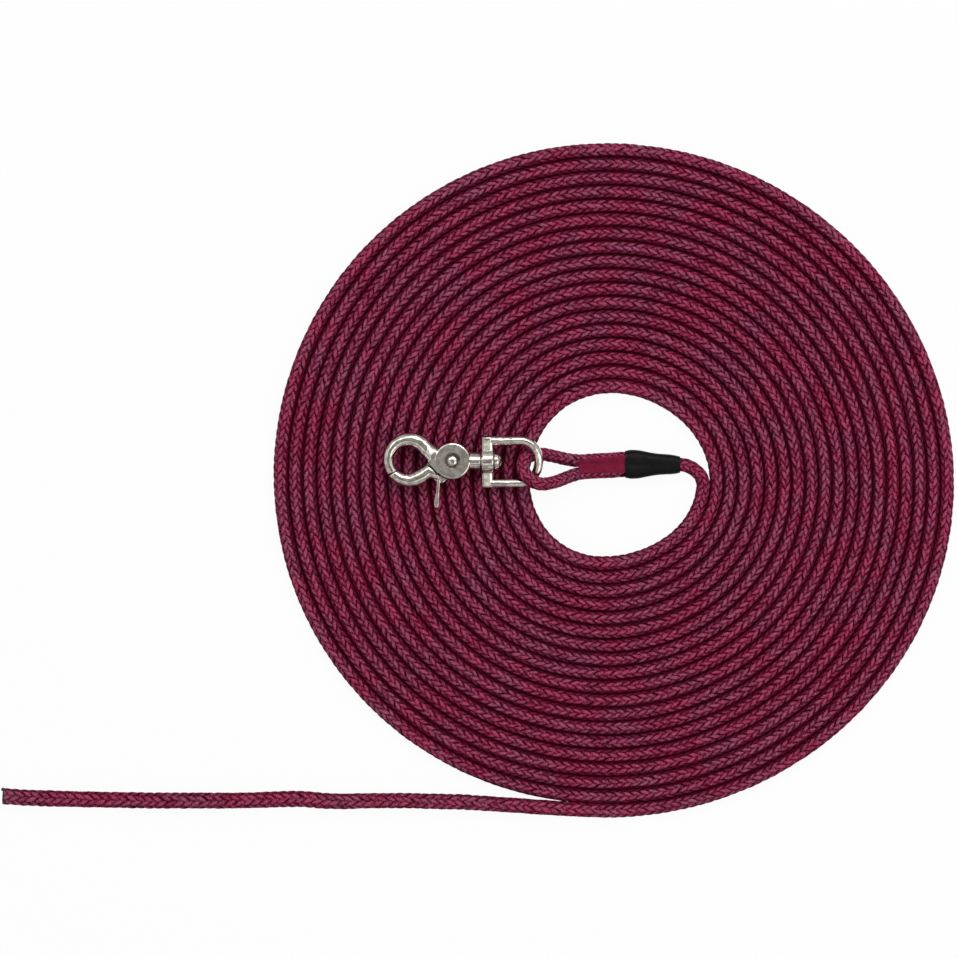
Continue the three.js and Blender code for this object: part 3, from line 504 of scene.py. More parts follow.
def braid_cell():
    """Eight closed stitches round a rope of radius 1, with the period along +Z in millimetres."""
    vertices, faces, across, along, around, centre = [], [], [], [], [], []
    rows, across_count = len(STITCH_ALONG), len(STITCH_ACROSS)
    t, v = [g.ravel() for g in np.meshgrid(STITCH_ALONG, STITCH_ACROSS, indexing="ij")]
    crown = np.sqrt(1 - v ** 2 * STITCH_FULLNESS)
    radius = 1.0 - DIVE * np.abs(t) ** 3 - YARN_RELIEF * (1 - crown)
    for column in range(COLUMNS):
        lean = 1 if column % 2 == 0 else -1
        angle = 2 * math.pi * (column + 0.5 * t) / COLUMNS
        middle = 0 if lean > 0 else BRAID_PERIOD / 2
        length = middle + BRAID_PERIOD * (lean * t * BRAID_LEAN + v / 2 * STITCH_FULLNESS)
        base = sum(len(part) for part in vertices)
        vertices.append(np.stack([radius * np.cos(angle), radius * np.sin(angle), length], 1))
        for i in range(rows - 1):
            for j in range(across_count - 1):
                a = base + i * across_count + j
                faces.append((a, a + across_count, a + across_count + 1, a + 1))
            low, high = base + i * across_count, base + (i + 1) * across_count
            faces.append((low, low + across_count - 1, high + across_count - 1, high))
        faces.append(tuple(base + j for j in range(across_count)))
        faces.append(tuple(base + (rows - 1) * across_count + j for j in range(across_count - 1, -1, -1)))
        across.append(v)
        along.append(t)
        half, shift = (0, 1 / COLUMNS) if lean > 0 else (0.5, 0)
        around.append(half + ((column + 0.5 * t) / COLUMNS + shift) / 2)
        centre.append(np.full(len(t), middle))
    mesh = bpy.data.meshes.new("braid_cell")
    mesh.from_pydata(np.vstack(vertices).tolist(), [], faces)
    for name, parts in (("across", across), ("along", along), ("around", around), ("centre", centre)):
        store(mesh, name, np.concatenate(parts))
    thing = bpy.data.objects.new("braid_cell", mesh)
    bpy.context.collection.objects.link(thing)
    return thing


cell = braid_cell()
CELL_POINTS = len(cell.data.vertices)
print("points and faces in one period:", CELL_POINTS, len(cell.data.polygons))

# %% [markdown]
# Geometry Nodes repeat the cell along a straight line. The tree is small: a line of points, the cell on
# each, and Realize Instances so that the copies become one mesh. What differs from stitch to stitch is added
# when the braid is laid, because a copy holds eight stitches and each has its own shade.

# %% Build the tree that repeats a cell
TREE_INPUTS = {"Cell": "Object", "Count": "Int", "Spacing": "Float", "Material": "Material"}
TREE_NODES = {"in": "NodeGroupInput", "out": "NodeGroupOutput", "step": "ShaderNodeCombineXYZ",
              "line": "GeometryNodeMeshLine", "object": "GeometryNodeObjectInfo",
              "copies": "GeometryNodeInstanceOnPoints", "realize": "GeometryNodeRealizeInstances",
              "paint": "GeometryNodeSetMaterial"}
TREE_LINKS = [("in", "Cell", "object", "Object"), ("in", "Count", "line", "Count"),
              ("in", "Spacing", "step", "Z"), ("step", 0, "line", "Offset"), ("line", 0, "copies", "Points"),
              ("object", "Geometry", "copies", "Instance"), ("copies", 0, "realize", 0),
              ("realize", 0, "paint", 0), ("in", "Material", "paint", "Material"), ("paint", 0, "out", 0)]


def repeat_tree():
    tree = bpy.data.node_groups.new("repeat_along_line", "GeometryNodeTree")
    for way in ("OUTPUT", "INPUT"):
        tree.interface.new_socket("Geometry", in_out=way, socket_type="NodeSocketGeometry")
    sockets = {}
    for name, kind in TREE_INPUTS.items():
        socket = tree.interface.new_socket(name, in_out="INPUT", socket_type="NodeSocket" + kind)
        sockets[name] = socket.identifier
    node = {name: tree.nodes.new(kind) for name, kind in TREE_NODES.items()}
    node["line"].mode = "OFFSET"
    for source, socket, target, into in TREE_LINKS:
        tree.links.new(node[source].outputs[socket], node[target].inputs[into])
    return tree, sockets


repeat, repeat_sockets = repeat_tree()


def plain_mesh(thing, name):
    """The evaluated object as a plain mesh, in an object of its own."""
    bpy.context.view_layer.update()
    live = thing.evaluated_get(bpy.context.evaluated_depsgraph_get())
    mesh = bpy.data.meshes.new_from_object(live)
    mesh.name = name
    plain = bpy.data.objects.new(name, mesh)
    bpy.context.collection.objects.link(plain)
    return plain


def repeated(name, what, count, spacing, material):
    """So many copies of a cell, a spacing apart along +Z, as one plain mesh."""
    holder = bpy.data.objects.new("holder", bpy.data.meshes.new("holder"))
    bpy.context.collection.objects.link(holder)
    modifier = holder.modifiers.new("repeat", "NODES")
    modifier.node_group = repeat
    for key, value in (("Cell", what), ("Count", count), ("Spacing", spacing), ("Material", material)):
        modifier[repeat_sockets[key]] = value
    plain = plain_mesh(holder, name)
    bpy.data.objects.remove(holder)
    return plain


print("inputs of the tree:", list(repeat_sockets))

# %% [markdown]
# ## Shader tools
# Every finish below is made of the same few parts: noise on the object's own coordinates, a ramp that turns
# a mask into colours, a bump, and a node group where two finishes share an effect. They are written once.

# %% Write the shader tools
def shader_group(name, inputs, outputs):
    """An empty shader node group with named sockets, and its input and output nodes."""
    group = bpy.data.node_groups.new(name, "ShaderNodeTree")
    for label, kind, value in inputs:
        socket = group.interface.new_socket(label, in_out="INPUT", socket_type="NodeSocket" + kind)
        if value is not None:
            socket.default_value = value
    for label, kind in outputs:
        group.interface.new_socket(label, in_out="OUTPUT", socket_type="NodeSocket" + kind)
    return group, group.nodes.new("NodeGroupInput"), group.nodes.new("NodeGroupOutput")


def attribute(tree, name):
    """A number stored on the mesh's points."""
    node = tree.nodes.new("ShaderNodeAttribute")
    node.attribute_name = name
    return node.outputs["Fac"]


def placed_group(tree, group, **values):
    """A node that uses the group, with its inputs set by number or linked."""
    node = tree.nodes.new("ShaderNodeGroup")
    node.node_tree = group
    for label, value in values.items():
        if isinstance(value, (int, float)):
            node.inputs[label].default_value = value
        else:
            tree.links.new(value, node.inputs[label])
    return node


def tinted(tree, shade, *colours):
    """A colour from the first to the last of an even row of colours, by a mask."""
    ramp = tree.nodes.new("ShaderNodeValToRGB")
    stops = ramp.color_ramp.elements
    while len(stops) < len(colours):
        stops.new(0.5)
    for i, colour in enumerate(colours):
        stops[i].position = i / (len(colours) - 1)
        stops[i].color = (*colour, 1)
    tree.links.new(shade, ramp.inputs[0])
    return ramp.outputs[0]


def bumped(tree, height, distance, strength=1.0):
    """A Bump node on a height mask. The distance is in metres."""
    bump = tree.nodes.new("ShaderNodeBump")
    bump.inputs["Distance"].default_value = distance
    bump.inputs["Strength"].default_value = strength
    tree.links.new(height, bump.inputs["Height"])
    return bump.outputs[0]


def multiplied(tree, first, second):
    """One colour times another."""
    mix = tree.nodes.new("ShaderNodeMix")
    mix.data_type, mix.blend_type = "RGBA", "MULTIPLY"
    mix.inputs[0].default_value = 1.0
    tree.links.new(first, mix.inputs[6])
    tree.links.new(second, mix.inputs[7])
    return mix.outputs[2]


def noise(tree, place, scale, detail=2.0, stretch=None):
    """Fractal noise on some coordinates, which may be stretched first."""
    if stretch:
        mapping = tree.nodes.new("ShaderNodeMapping")
        mapping.inputs["Scale"].default_value = stretch
        tree.links.new(place, mapping.inputs["Vector"])
        place = mapping.outputs[0]
    node = tree.nodes.new("ShaderNodeTexNoise")
    node.inputs["Scale"].default_value = scale
    node.inputs["Detail"].default_value = detail
    tree.links.new(place, node.inputs["Vector"])
    return node.outputs["Fac"]


def place_of(tree):
    """The object's own coordinates, which are metres."""
    return tree.nodes.new("ShaderNodeTexCoord").outputs["Object"]


def grained(name, scale, detail, colours, depth, roughness, specular=0.5, stretch=None):
    """A plain finish: one noise tints the surface and makes it uneven."""
    material, tree, principled = new_material(name)
    grain = noise(tree, place_of(tree), scale, detail, stretch)
    tree.links.new(tinted(tree, grain, *colours), principled.inputs["Base Color"])
    tree.links.new(bumped(tree, grain, depth), principled.inputs["Normal"])
    principled.inputs["Roughness"].default_value = roughness
    principled.inputs["Specular IOR Level"].default_value = specular
    return material


# %% [markdown]
# ## The yarn
# Each strand is a bundle of fine polyester filaments, so its surface has streaks that run along the strand,
# and the light catches them. Shade is painted into the colour: the stitches darken towards their edges, where
# they curve away and sink under their neighbours, and low between two turns. No two have quite the same
# tone. A shader group turns the stitch's own coordinates, stored on the mesh, into one painted shade and one
# streak mask. The dye isn't even either: slow patches make the burgundy redder or greyer, and a fine fuzz
# breaks up the stitches' edges.

# %% Build the yarn group
yarn, yarn_in, yarn_out = shader_group(
    "twisted_yarn",
    [("Across", "Float", 0.0), ("Along", "Float", 0.0), ("Stitch", "Float", 0.0), ("Chink", "Float", 0.0),
     ("Fineness", "Float", 5.0)],
    [("Shade", "Float"), ("Streak", "Float")])
spread = yarn.nodes.new("ShaderNodeCombineXYZ")
STRETCHES = (("Across", yarn_in.outputs["Fineness"]), ("Along", 1.1), ("Stitch", 91.0))
for axis, (source, stretch) in enumerate(STRETCHES):
    yarn.links.new(math_node(yarn, "MULTIPLY", yarn_in.outputs[source], stretch), spread.inputs[axis])
fibres = yarn.nodes.new("ShaderNodeTexNoise")
fibres.inputs["Scale"].default_value = 1.0
fibres.inputs["Detail"].default_value = 2.0
yarn.links.new(spread.outputs[0], fibres.inputs["Vector"])

# Each mask is painted shade. It is 1 in the clear and falls to its last number where a stitch curves away,
# tucks under the next one, or lies low between two turns.
PAINTED_SHADE_MASKS = {"Across": (0.0, 1.0, 0.70), "Along": (0.2, 1.3, 0.66), "Chink": (0.0, 0.62, 0.15)}
shade = math_node(yarn, "MULTIPLY_ADD", fibres.outputs["Fac"], 1.0, 0.5)
for source, (start, end, least) in PAINTED_SHADE_MASKS.items():
    side = math_node(yarn, "ABSOLUTE", yarn_in.outputs[source])
    shade = math_node(yarn, "MULTIPLY", shade, eased_node(yarn, side, start, end, 1.0, least))
tone = math_node(yarn, "MULTIPLY_ADD", yarn_in.outputs["Stitch"], 0.36, 0.80)
yarn.links.new(math_node(yarn, "MULTIPLY", shade, tone), yarn_out.inputs["Shade"])
yarn.links.new(fibres.outputs["Fac"], yarn_out.inputs["Streak"])
print("yarn group sockets:", [s.name for s in yarn.interface.items_tree])

# %% Dye the yarn and paint its shade and highlights
FUZZ_SCALE, PATCH_SCALE = 1500, 85
PATCH_TINTS = (1.0, 0.66, 0.84), (0.84, 1.0, 1.0)
# The yarn's colours run from painted shade, through burgundy, to a greyish-pink painted highlight on the
# crowns.
BURGUNDY_SHADE_TO_HIGHLIGHT = ((0.058, 0.0, 0.0055), (0.148, 0.008, 0.036), (0.385, 0.081, 0.147))


def yarn_material(name, colours, roughness, fineness):
    material, tree, principled = new_material(name)
    detail = placed_group(tree, yarn, Across=attribute(tree, "across"), Along=attribute(tree, "along"),
                          Stitch=attribute(tree, "stitch"), Chink=attribute(tree, "chink_shade"), Fineness=fineness)
    place = place_of(tree)
    patches = noise(tree, place, PATCH_SCALE, 2.0)
    fuzz = eased_node(tree, noise(tree, place, FUZZ_SCALE, 1.0), 0.3, 0.7, 0.72, 1.26)
    patchy = tinted(tree, eased_node(tree, patches, 0.32, 0.68, 0, 1), *PATCH_TINTS)
    # The painted shade, with the fuzz, picks the colour: shaded edges dark, crowns highlighted.
    dye_shade_and_highlight = tinted(tree, math_node(tree, "MULTIPLY", detail.outputs["Shade"], fuzz), *colours)
    tree.links.new(multiplied(tree, dye_shade_and_highlight, patchy), principled.inputs["Base Color"])
    tree.links.new(bumped(tree, detail.outputs["Streak"], 0.00012), principled.inputs["Normal"])
    principled.inputs["Roughness"].default_value = roughness
    principled.inputs["Specular IOR Level"].default_value = 0.06
    return material


burgundy_yarn = yarn_material("burgundy_yarn", BURGUNDY_SHADE_TO_HIGHLIGHT, 0.55, 5.0)
# The core is near black: it shows only between strands and turns, where its colour is painted shade.
CORE_SHADE_TONES = (0.016, 0.0, 0.002), (0.036, 0.001, 0.006)
burgundy_core_shade = grained("burgundy_core_shade", 2400, 2.0, CORE_SHADE_TONES, 0.0002, 0.85, 0.1)
for tube in (rope_core, eye_core):
    tube.data.materials.append(burgundy_core_shade)
print("yarn:", burgundy_yarn.name, " core:", burgundy_core_shade.name)

# %% [markdown]
# ## Laying the braid
# The straight braid now goes onto the route. Each point knows how far along the rope it is and where it
# sits round it, so the route's frame gives its place. No machine lays every stitch alike, so each gets a
# shade, a turn, a height and a shift by chance. Next to the sleeve the rope is drawn out, and its stitches
# run closer and closer to their plain length over a few centimetres. In the eye they are finer.
# The coil is cut into eight pieces to keep each mesh light, with the cuts hidden between two stitches.
# The bake's map is laid out at the same time: the rope's surface is unrolled into a strip, one half for the
# stitches that lean left, one for those that lean right, and the strip is cut into rows that fill a square.

# %% Lay the braid along the rope
def bake_map(mesh, distance, centre_distance, around, length):
    """Unrolls the rope into rows and stores them as the map that the bake uses."""
    rows = max(1, round(math.sqrt(length / (4 * math.pi * ROPE_WIDTH / 2))))
    row_length = length / rows
    row = np.clip((centre_distance / row_length).astype(int), 0, rows - 1)
    margin = BRAID_PERIOD * 1.3
    u = (distance - row * row_length + margin) / (row_length + 2 * margin)
    v = (row + around) / rows
    places = np.stack([u, v], 1)
    corners = np.empty(len(mesh.loops), np.int32)
    mesh.loops.foreach_get("vertex_index", corners)
    layer = mesh.uv_layers.new(name="OFBake")
    layer.uv.foreach_set("vector", places[corners].astype(np.float32).ravel())


def numbers(mesh, name):
    """What was stored under a name on the mesh's points."""
    values = np.empty(len(mesh.vertices), np.float32)
    mesh.attributes[name].data.foreach_get("value", values)
    return values.astype(float)


COIL_PIECES, EYE_FINENESS = 8, 0.75
TURN_CHANCE, HEIGHT_CHANCE, SHIFT_CHANCE = 0.05, 0.012, 0.11
LEAD_DRAWN, LEAD_FADE, END_GAP = 13.0, 50.0, 0.4
# The eye's braid stops short of its core's ends, which lie inside the sleeve. The tail's braid runs past the
# cut and is pressed back to it.
EYE_STARTS, EYE_STOPS_EARLY, PAST_THE_CUT = 4, 3, 3
COIL_SEED, TAIL_SEED, EYE_SEED = 10, 30, 40


def braid(name, route, start, periods, seed, fineness=1.0):
    """A stretch of braid that starts a distance along a route. A fineness under 1 makes it closer."""
    piece = repeated(name, cell, periods, BRAID_PERIOD, burgundy_yarn)
    mesh = piece.data
    at = np.empty(3 * len(mesh.vertices), np.float32)
    mesh.vertices.foreach_get("co", at)
    at = at.reshape(-1, 3).astype(float)
    copy = np.arange(len(at)) // CELL_POINTS
    stitch = np.arange(len(at)) // (CELL_POINTS // COLUMNS)
    chance = np.random.default_rng(seed).normal(size=(periods * COLUMNS, 4)).clip(-2, 2)[stitch]
    turned = np.arctan2(at[:, 1], at[:, 0]) + TURN_CHANCE * chance[:, 1]
    reach = np.hypot(at[:, 0], at[:, 1]) * (1 + HEIGHT_CHANCE * chance[:, 2])
    bake_map(mesh, at[:, 2], copy * BRAID_PERIOD + numbers(mesh, "centre"), numbers(mesh, "around"),
             periods * BRAID_PERIOD)
    store(mesh, "stitch", 0.5 + 0.25 * chance[:, 0])
    at[:, 0], at[:, 1] = reach * np.cos(turned), reach * np.sin(turned)
    distance = (at[:, 2] + SHIFT_CHANCE * chance[:, 3]) * fineness + start
    if route is run:
        distance = np.minimum(distance + LEAD_DRAWN * np.exp(-distance / LEAD_FADE), route.length - END_GAP)
    laid = (route.lay(at[:, 0], at[:, 1], distance) + COIL_CENTRE) * MM
    # The depth between turns is stored for the yarn's painted shade.
    store(mesh, "chink_shade", route.chink_shade(at[:, 0], at[:, 1], distance))
    mesh.vertices.foreach_set("co", laid.astype(np.float32).ravel())
    mesh.polygons.foreach_set("use_smooth", [True] * len(mesh.polygons))
    mesh.update()
    return piece


def braided(name, route, start, end, pieces, seed, fineness=1.0):
    """Braid from start to end along a route, in so many pieces."""
    period = BRAID_PERIOD * fineness
    periods = int((end - start) / period)
    made = []
    for i in range(pieces):
        first, last = periods * i // pieces, periods * (i + 1) // pieces
        label = name if pieces == 1 else f"{name}_{i + 1}"
        made.append(braid(label, route, start + (first + 0.5) * period, last - first, seed + i, fineness))
    return made


coil_braid = braided("coil_braid", run, 0, coil_to, COIL_PIECES, COIL_SEED)
tail_start = BRAID_PERIOD * int(coil_to / BRAID_PERIOD)
tail_braid = braided("tail_braid", run, tail_start, run.length + PAST_THE_CUT, 1, TAIL_SEED)
eye_braid = braided("eye_braid", eye, EYE_STARTS, eye.length - EYE_STOPS_EARLY, 1, EYE_SEED, EYE_FINENESS)
bpy.data.objects.remove(cell)
print("faces in one coil piece:", len(coil_braid[0].data.polygons))

# %% [markdown]
# ## Solid shapes
# The hook and the bail are castings, so each starts as a few overlapping solids: bars that follow a curve,
# turned discs and flat slabs. A voxel remesh melts them into one skin, and a little smoothing rounds every
# edge and fills every corner, which is what a casting looks like. Holes are cut afterwards, so they stay
# crisp. All of them are drawn in the hook's own frame: its origin is the gate's rivet, +X the swivel's axis.

# %% Write the solid shapes
HOOK = np.array([-63.84, 7.95, 10.8])


def polar(x, y, radius, degrees):
    """A point on a circle about x, y."""
    angle = math.radians(degrees)
    return np.array([x + radius * math.cos(angle), y + radius * math.sin(angle)])


def loft(rings):
    """A closed body through rings of points that run the same way round."""
    sides = len(rings[0])
    return np.vstack(rings), tube_faces(len(rings), sides)


def slab(outline, thickness, middle=0.0):
    """A flat plate with the outline listed anticlockwise, thick along Z."""
    ring = np.array([[x, y, 0.0] for x, y in outline])
    return loft([ring + (0, 0, middle - thickness / 2), ring + (0, 0, middle + thickness / 2)])


def lathe(profile, segments=72):
    """A turned body about Z, from pairs of radius and height listed upwards."""
    turn = np.linspace(0, 2 * math.pi, segments, endpoint=False)
    return loft([np.stack([r * np.cos(turn), r * np.sin(turn), np.full(segments, h)], 1) for r, h in profile])


def rounded_edge(radius, thickness, edge, steps=5):
    """A disc's profile, its two rims rounded."""
    half = thickness / 2
    quarter = [(math.sin(a), math.cos(a)) for a in np.linspace(0, math.pi / 2, steps)]
    low = [(radius - edge + edge * s, -half + edge - edge * c) for s, c in quarter]
    return [(0.01, -half), *low, *[(r, -h) for r, h in reversed(low)], (0.01, half)]


def disc(radius, thickness, edge=0.3, middle=0.0):
    return lathe([(r, h + middle) for r, h in rounded_edge(radius, thickness, edge)])


def along_x(solid, start):
    """A turned body laid down along +X, with its foot at start."""
    points, faces = solid
    low = points[:, 2].min()
    return np.stack([points[:, 2] - low + start, points[:, 0], points[:, 1]], 1), faces


def squared(turn, fullness):
    """A circle's cosine and sine, made boxier by a fullness under 1."""
    c, s = np.cos(turn), np.sin(turn)
    return np.sign(c) * np.abs(c) ** fullness, np.sign(s) * np.abs(s) ** fullness


def bar(line, radius, sides=28):
    """A round bar along a line."""
    route = Route(np.asarray(line, float), *[np.zeros_like] * 4)
    turn = np.linspace(0, 2 * math.pi, sides, endpoint=False)
    c, s = np.cos(turn)[:, None], np.sin(turn)[:, None]
    return loft([at + radius * (c * side + s * up) for at, side, up in zip(route.line, route.side, route.up)])


def rolled(solid, degrees):
    """The solid, turned about the swivel's axis."""
    points, faces = solid
    c, s = math.cos(math.radians(degrees)), math.sin(math.radians(degrees))
    return points @ np.array([[1, 0, 0], [0, c, s], [0, -s, c]]), faces


def solid_object(name, solids):
    """Several closed solids in one mesh, in the hook's frame."""
    points, faces = [], []
    for some, their in solids:
        base = sum(len(part) for part in points)
        points.append(some)
        faces += [tuple(base + i for i in face) for face in their]
    return mesh_object(name, np.vstack(points) + HOOK, faces)


def sealed(thing):
    """The object with its doubled points merged and all its faces turned outward."""
    shape = bmesh.new()
    shape.from_mesh(thing.data)
    bmesh.ops.remove_doubles(shape, verts=shape.verts, dist=1e-7)
    bmesh.ops.recalc_face_normals(shape, faces=shape.faces)
    shape.to_mesh(thing.data)
    shape.free()
    return thing


# %% [markdown]
# A casting's skin comes from a voxel remesh of its solids. Smoothing shrinks it a little each round, so it
# is swelled by as much again. A union or a cut uses Blender's manifold solver, which needs closed solids.

# %% Write the casting steps
def remade(thing, name):
    """The object with its modifiers made real."""
    plain = plain_mesh(thing, name)
    bpy.data.objects.remove(thing)
    return plain


SWELL = 0.012


def cast(name, solids, voxel, rounds, cuts=()):
    """Solids melted into one smooth skin, and then cut."""
    thing = sealed(solid_object(name, solids)) if isinstance(solids, list) else solids
    melt = thing.modifiers.new("melt", "REMESH")
    melt.mode = "VOXEL"
    melt.voxel_size = voxel * MM
    polish = thing.modifiers.new("polish", "SMOOTH")
    polish.factor = 0.5
    polish.iterations = rounds
    swell = thing.modifiers.new("swell", "DISPLACE")
    swell.strength, swell.mid_level = SWELL * MM * rounds, 0.0
    thing = remade(thing, name)
    return cut(thing, name, cuts) if cuts else thing


def combined(thing, name, other, operation):
    """The object joined with another one or cut by it. The other is used up."""
    modifier = thing.modifiers.new(operation, "BOOLEAN")
    modifier.operation, modifier.solver, modifier.object = operation, "MANIFOLD", other
    thing = remade(thing, name)
    bpy.data.objects.remove(other)
    return thing


def cut(thing, name, cuts):
    return combined(thing, name, sealed(solid_object("tool", list(cuts))), "DIFFERENCE")


GOLDEN_TURN, RAY_LIFT = 2.399963, 5e-5


def shade_crevices(things, reach=2.6, rays=14):
    """Stores on each point how much of the sky over it is hidden by metal that is near, for painted shade."""
    shapes = []
    for thing in things:
        shape = bmesh.new()
        shape.from_mesh(thing.data)
        shapes.append(BVHTree.FromBMesh(shape))
        shape.free()
    spread = [(math.sqrt((i + 0.5) / rays), GOLDEN_TURN * i) for i in range(rays)]
    for thing in things:
        hidden = np.zeros(len(thing.data.vertices), np.float32)
        for i, vertex in enumerate(thing.data.vertices):
            normal = vertex.normal
            across = normal.orthogonal().normalized()
            other = normal.cross(across)
            start = vertex.co + normal * RAY_LIFT
            for share, turn in spread:
                aside = across * math.cos(turn) + other * math.sin(turn)
                way = normal * math.sqrt(1 - share * share) + share * aside
                hidden[i] += any(tree.ray_cast(start, way, reach * MM)[0] is not None for tree in shapes)
        store(thing.data, "crevice_shade", hidden / rays)


def finished(thing, material, body, node, sharp=32):
    """The last steps for a piece: shading, finish, the body it rides on, and hiding the CAD node it stands
    for.
    """
    mesh = thing.data
    mesh.polygons.foreach_set("use_smooth", [True] * len(mesh.polygons))
    mesh.set_sharp_from_angle(angle=math.radians(sharp))
    mesh.materials.clear()
    mesh.materials.append(material)
    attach(thing, body)
    if node:
        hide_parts(node)
    spot = np.empty(3 * len(mesh.vertices), np.float32)
    mesh.vertices.foreach_get("co", spot)
    spot = spot.reshape(-1, 3) / MM - COIL_CENTRE - HOOK
    print(thing.name, "faces:", len(mesh.polygons), "from", spot.min(0).round(2), "to", spot.max(0).round(2))


# %% [markdown]
# ## The nickel
# The metal is bright nickel plate over a zinc casting. Plating is smooth but follows the casting under it,
# so reflections waver over a few millimetres. Handling rubs it dull in patches and leaves fine scratches.
# Shade is painted dark into its crevices and corners, where metal close by hides the sky. To find those
# places, short rays go out from each point of the castings, and the share that hits metal close by is
# stored on the mesh. The shader group turns that and some noise into a tone of wear and painted shade, a
# roughness and a height.

# %% Build the plated metal
plated, plated_in, plated_out = shader_group(
    "plated_casting",
    [("Place", "Vector", None), ("Crevice", "Float", 0.0)],
    [("Wear_And_Shade", "Float"), ("Rough", "Float"), ("Height", "Float")])

waver = noise(plated, plated_in.outputs["Place"], 260, 1.0)
grime = noise(plated, plated_in.outputs["Place"], 520, 4.0)
scratch_a = noise(plated, plated_in.outputs["Place"], 1400, 1.0, (0.25, 3.0, 1.0))
scratch_b = noise(plated, plated_in.outputs["Place"], 1400, 1.0, (2.6, 0.3, 1.0))
scratches = math_node(plated, "MAXIMUM", eased_node(plated, scratch_a, 0.66, 0.72, 0, 1),
                      eased_node(plated, scratch_b, 0.67, 0.73, 0, 1))
# Painted shade: where metal close by hides the sky, the tone runs to the metal's deep colour.
hidden = eased_node(plated, plated_in.outputs["Crevice"], 0.30, 0.85, 0.0, 1.0)
rubbed = eased_node(plated, grime, 0.34, 0.66, 0.0, 0.36)
# The tone is rubbed wear or painted shade, whichever is more.
plated.links.new(math_node(plated, "MAXIMUM", hidden, rubbed), plated_out.inputs["Wear_And_Shade"])
worn = math_node(plated, "MULTIPLY_ADD", scratches, 0.05, eased_node(plated, grime, 0.4, 0.75, 0.12, 0.22))
plated.links.new(math_node(plated, "MULTIPLY_ADD", hidden, 0.3, worn), plated_out.inputs["Rough"])
plated.links.new(math_node(plated, "MULTIPLY_ADD", scratches, -0.004, waver), plated_out.inputs["Height"])


def metal(name, bright, dull, deep, depth):
    material, tree, principled = new_material(name)
    detail = placed_group(tree, plated, Place=place_of(tree), Crevice=attribute(tree, "crevice_shade"))
    tree.links.new(tinted(tree, detail.outputs["Wear_And_Shade"], bright, dull, deep), principled.inputs["Base Color"])
    tree.links.new(detail.outputs["Rough"], principled.inputs["Roughness"])
    tree.links.new(bumped(tree, detail.outputs["Height"], depth), principled.inputs["Normal"])
    principled.inputs["Metallic"].default_value = 1.0
    return material


# Each metal's last colour is the painted shade of its crevices.
nickel = metal("bright_nickel", (0.86, 0.81, 0.73), (0.40, 0.36, 0.30), (0.025, 0.02, 0.016), 0.00022)
spring_steel = metal("spring_steel", (0.50, 0.49, 0.47), (0.36, 0.35, 0.34), (0.05, 0.05, 0.05), 0.00005)
print("metals:", nickel.name, spring_steel.name)

# %% [markdown]
# ## The hook's body
# A scissor hook has a fixed jaw and a jaw that swings, riveted through a round boss. The fixed jaw runs from
# the boss over the top of the ring and round to the tip. It is a bar of rounded section whose inner edge
# follows the opening and whose outer edge follows a larger, slightly shifted circle, so the bar is thickest
# at the left. Each ring of the loft spans from the one circle to the other. Towards the boss the bar grows
# thicker and squarer, until it is as thick as the boss and runs into it without a step.

# %% Cast the hook's body
BOSS_RADIUS, BOSS_THICKNESS, CHEEK_THICKNESS, JAW_THICKNESS = 7.2, 7.0, 6.6, 5.3
RING, OPENING = (-16.66, 0.48, 10.7), (-17.81, 0.48, 5.5)
TIP_OUTER, TIP_INNER, TIP_SLIT = 213, 227, 4
CHEEK_TOP, CHEEK_LOW = np.array([-9.75, -0.05]), np.array([-5.72, -4.85])
NECK_RADIUS, NECK_FROM, NECK_LENGTH = 3.45, 3.6, 7.6
RUNNING_GAP = 0.35
VOXEL = 0.14


def on_ring(degrees):
    return polar(*RING, degrees)


def on_opening(degrees):
    return polar(*OPENING, degrees)


def on_boss(share, degrees):
    return polar(0, 0, BOSS_RADIUS * share, degrees)


def jaw_ring(inner, outer, fullness=0.86, sides=32, thick=JAW_THICKNESS):
    """A rounded section between a point on the inner edge and one on the outer edge."""
    half, centre = (np.asarray(outer) - inner) / 2, (np.asarray(outer) + inner) / 2
    across, high = squared(np.linspace(0, 2 * math.pi, sides, endpoint=False), fullness)
    return np.stack([centre[0] + half[0] * across, centre[1] + half[1] * across, thick / 2 * high], 1)


def jaw(inner_ends, outer_ends, count):
    """Sections between two angles on the opening and two on the ring."""
    return [jaw_ring(on_opening(a), on_ring(b)) for a, b in zip(
        np.linspace(*inner_ends, count), np.linspace(*outer_ends, count))]


def mix(a, b, share):
    return np.asarray(a) * (1 - share) + np.asarray(b) * share


# The opening's edge leaves its circle where a straight line to the cheek touches it.
to_cheek = CHEEK_TOP - OPENING[:2]
lean = math.acos(OPENING[2] / np.linalg.norm(to_cheek))
tangent = math.degrees(math.atan2(to_cheek[1], to_cheek[0]) + lean)
upper = jaw((TIP_INNER, tangent), (TIP_OUTER, tangent + 12), 60)
upper += [jaw_ring(mix(on_opening(tangent), CHEEK_TOP, 0.45), on_ring(tangent - 7)),
          jaw_ring(CHEEK_TOP, on_boss(1.04, 138), 0.6, thick=CHEEK_THICKNESS),
          jaw_ring(on_boss(0.86, 200), on_boss(1, 112), 0.42, thick=7.05)]
RECESS_RADIUS, RECESS_DEPTH, RECESS_CUT, RIVET_BORE = 3.35, 1.2, 3, 1.9
PIN_BORE, PIN_BORE_START, PIN_BORE_DEPTH = 2.3, 5.7, 6.5
SLOT_WIDTH, SLOT_RADIUS, SLOT_REACH, EDGE = 3.2, 5.15, 13, 0.05
slot_fan = [np.zeros(2), *[polar(0, 0, SLOT_REACH, a) for a in np.linspace(178, 305, 24)]]
recess_middle = BOSS_THICKNESS / 2 - RECESS_DEPTH + RECESS_CUT / 2
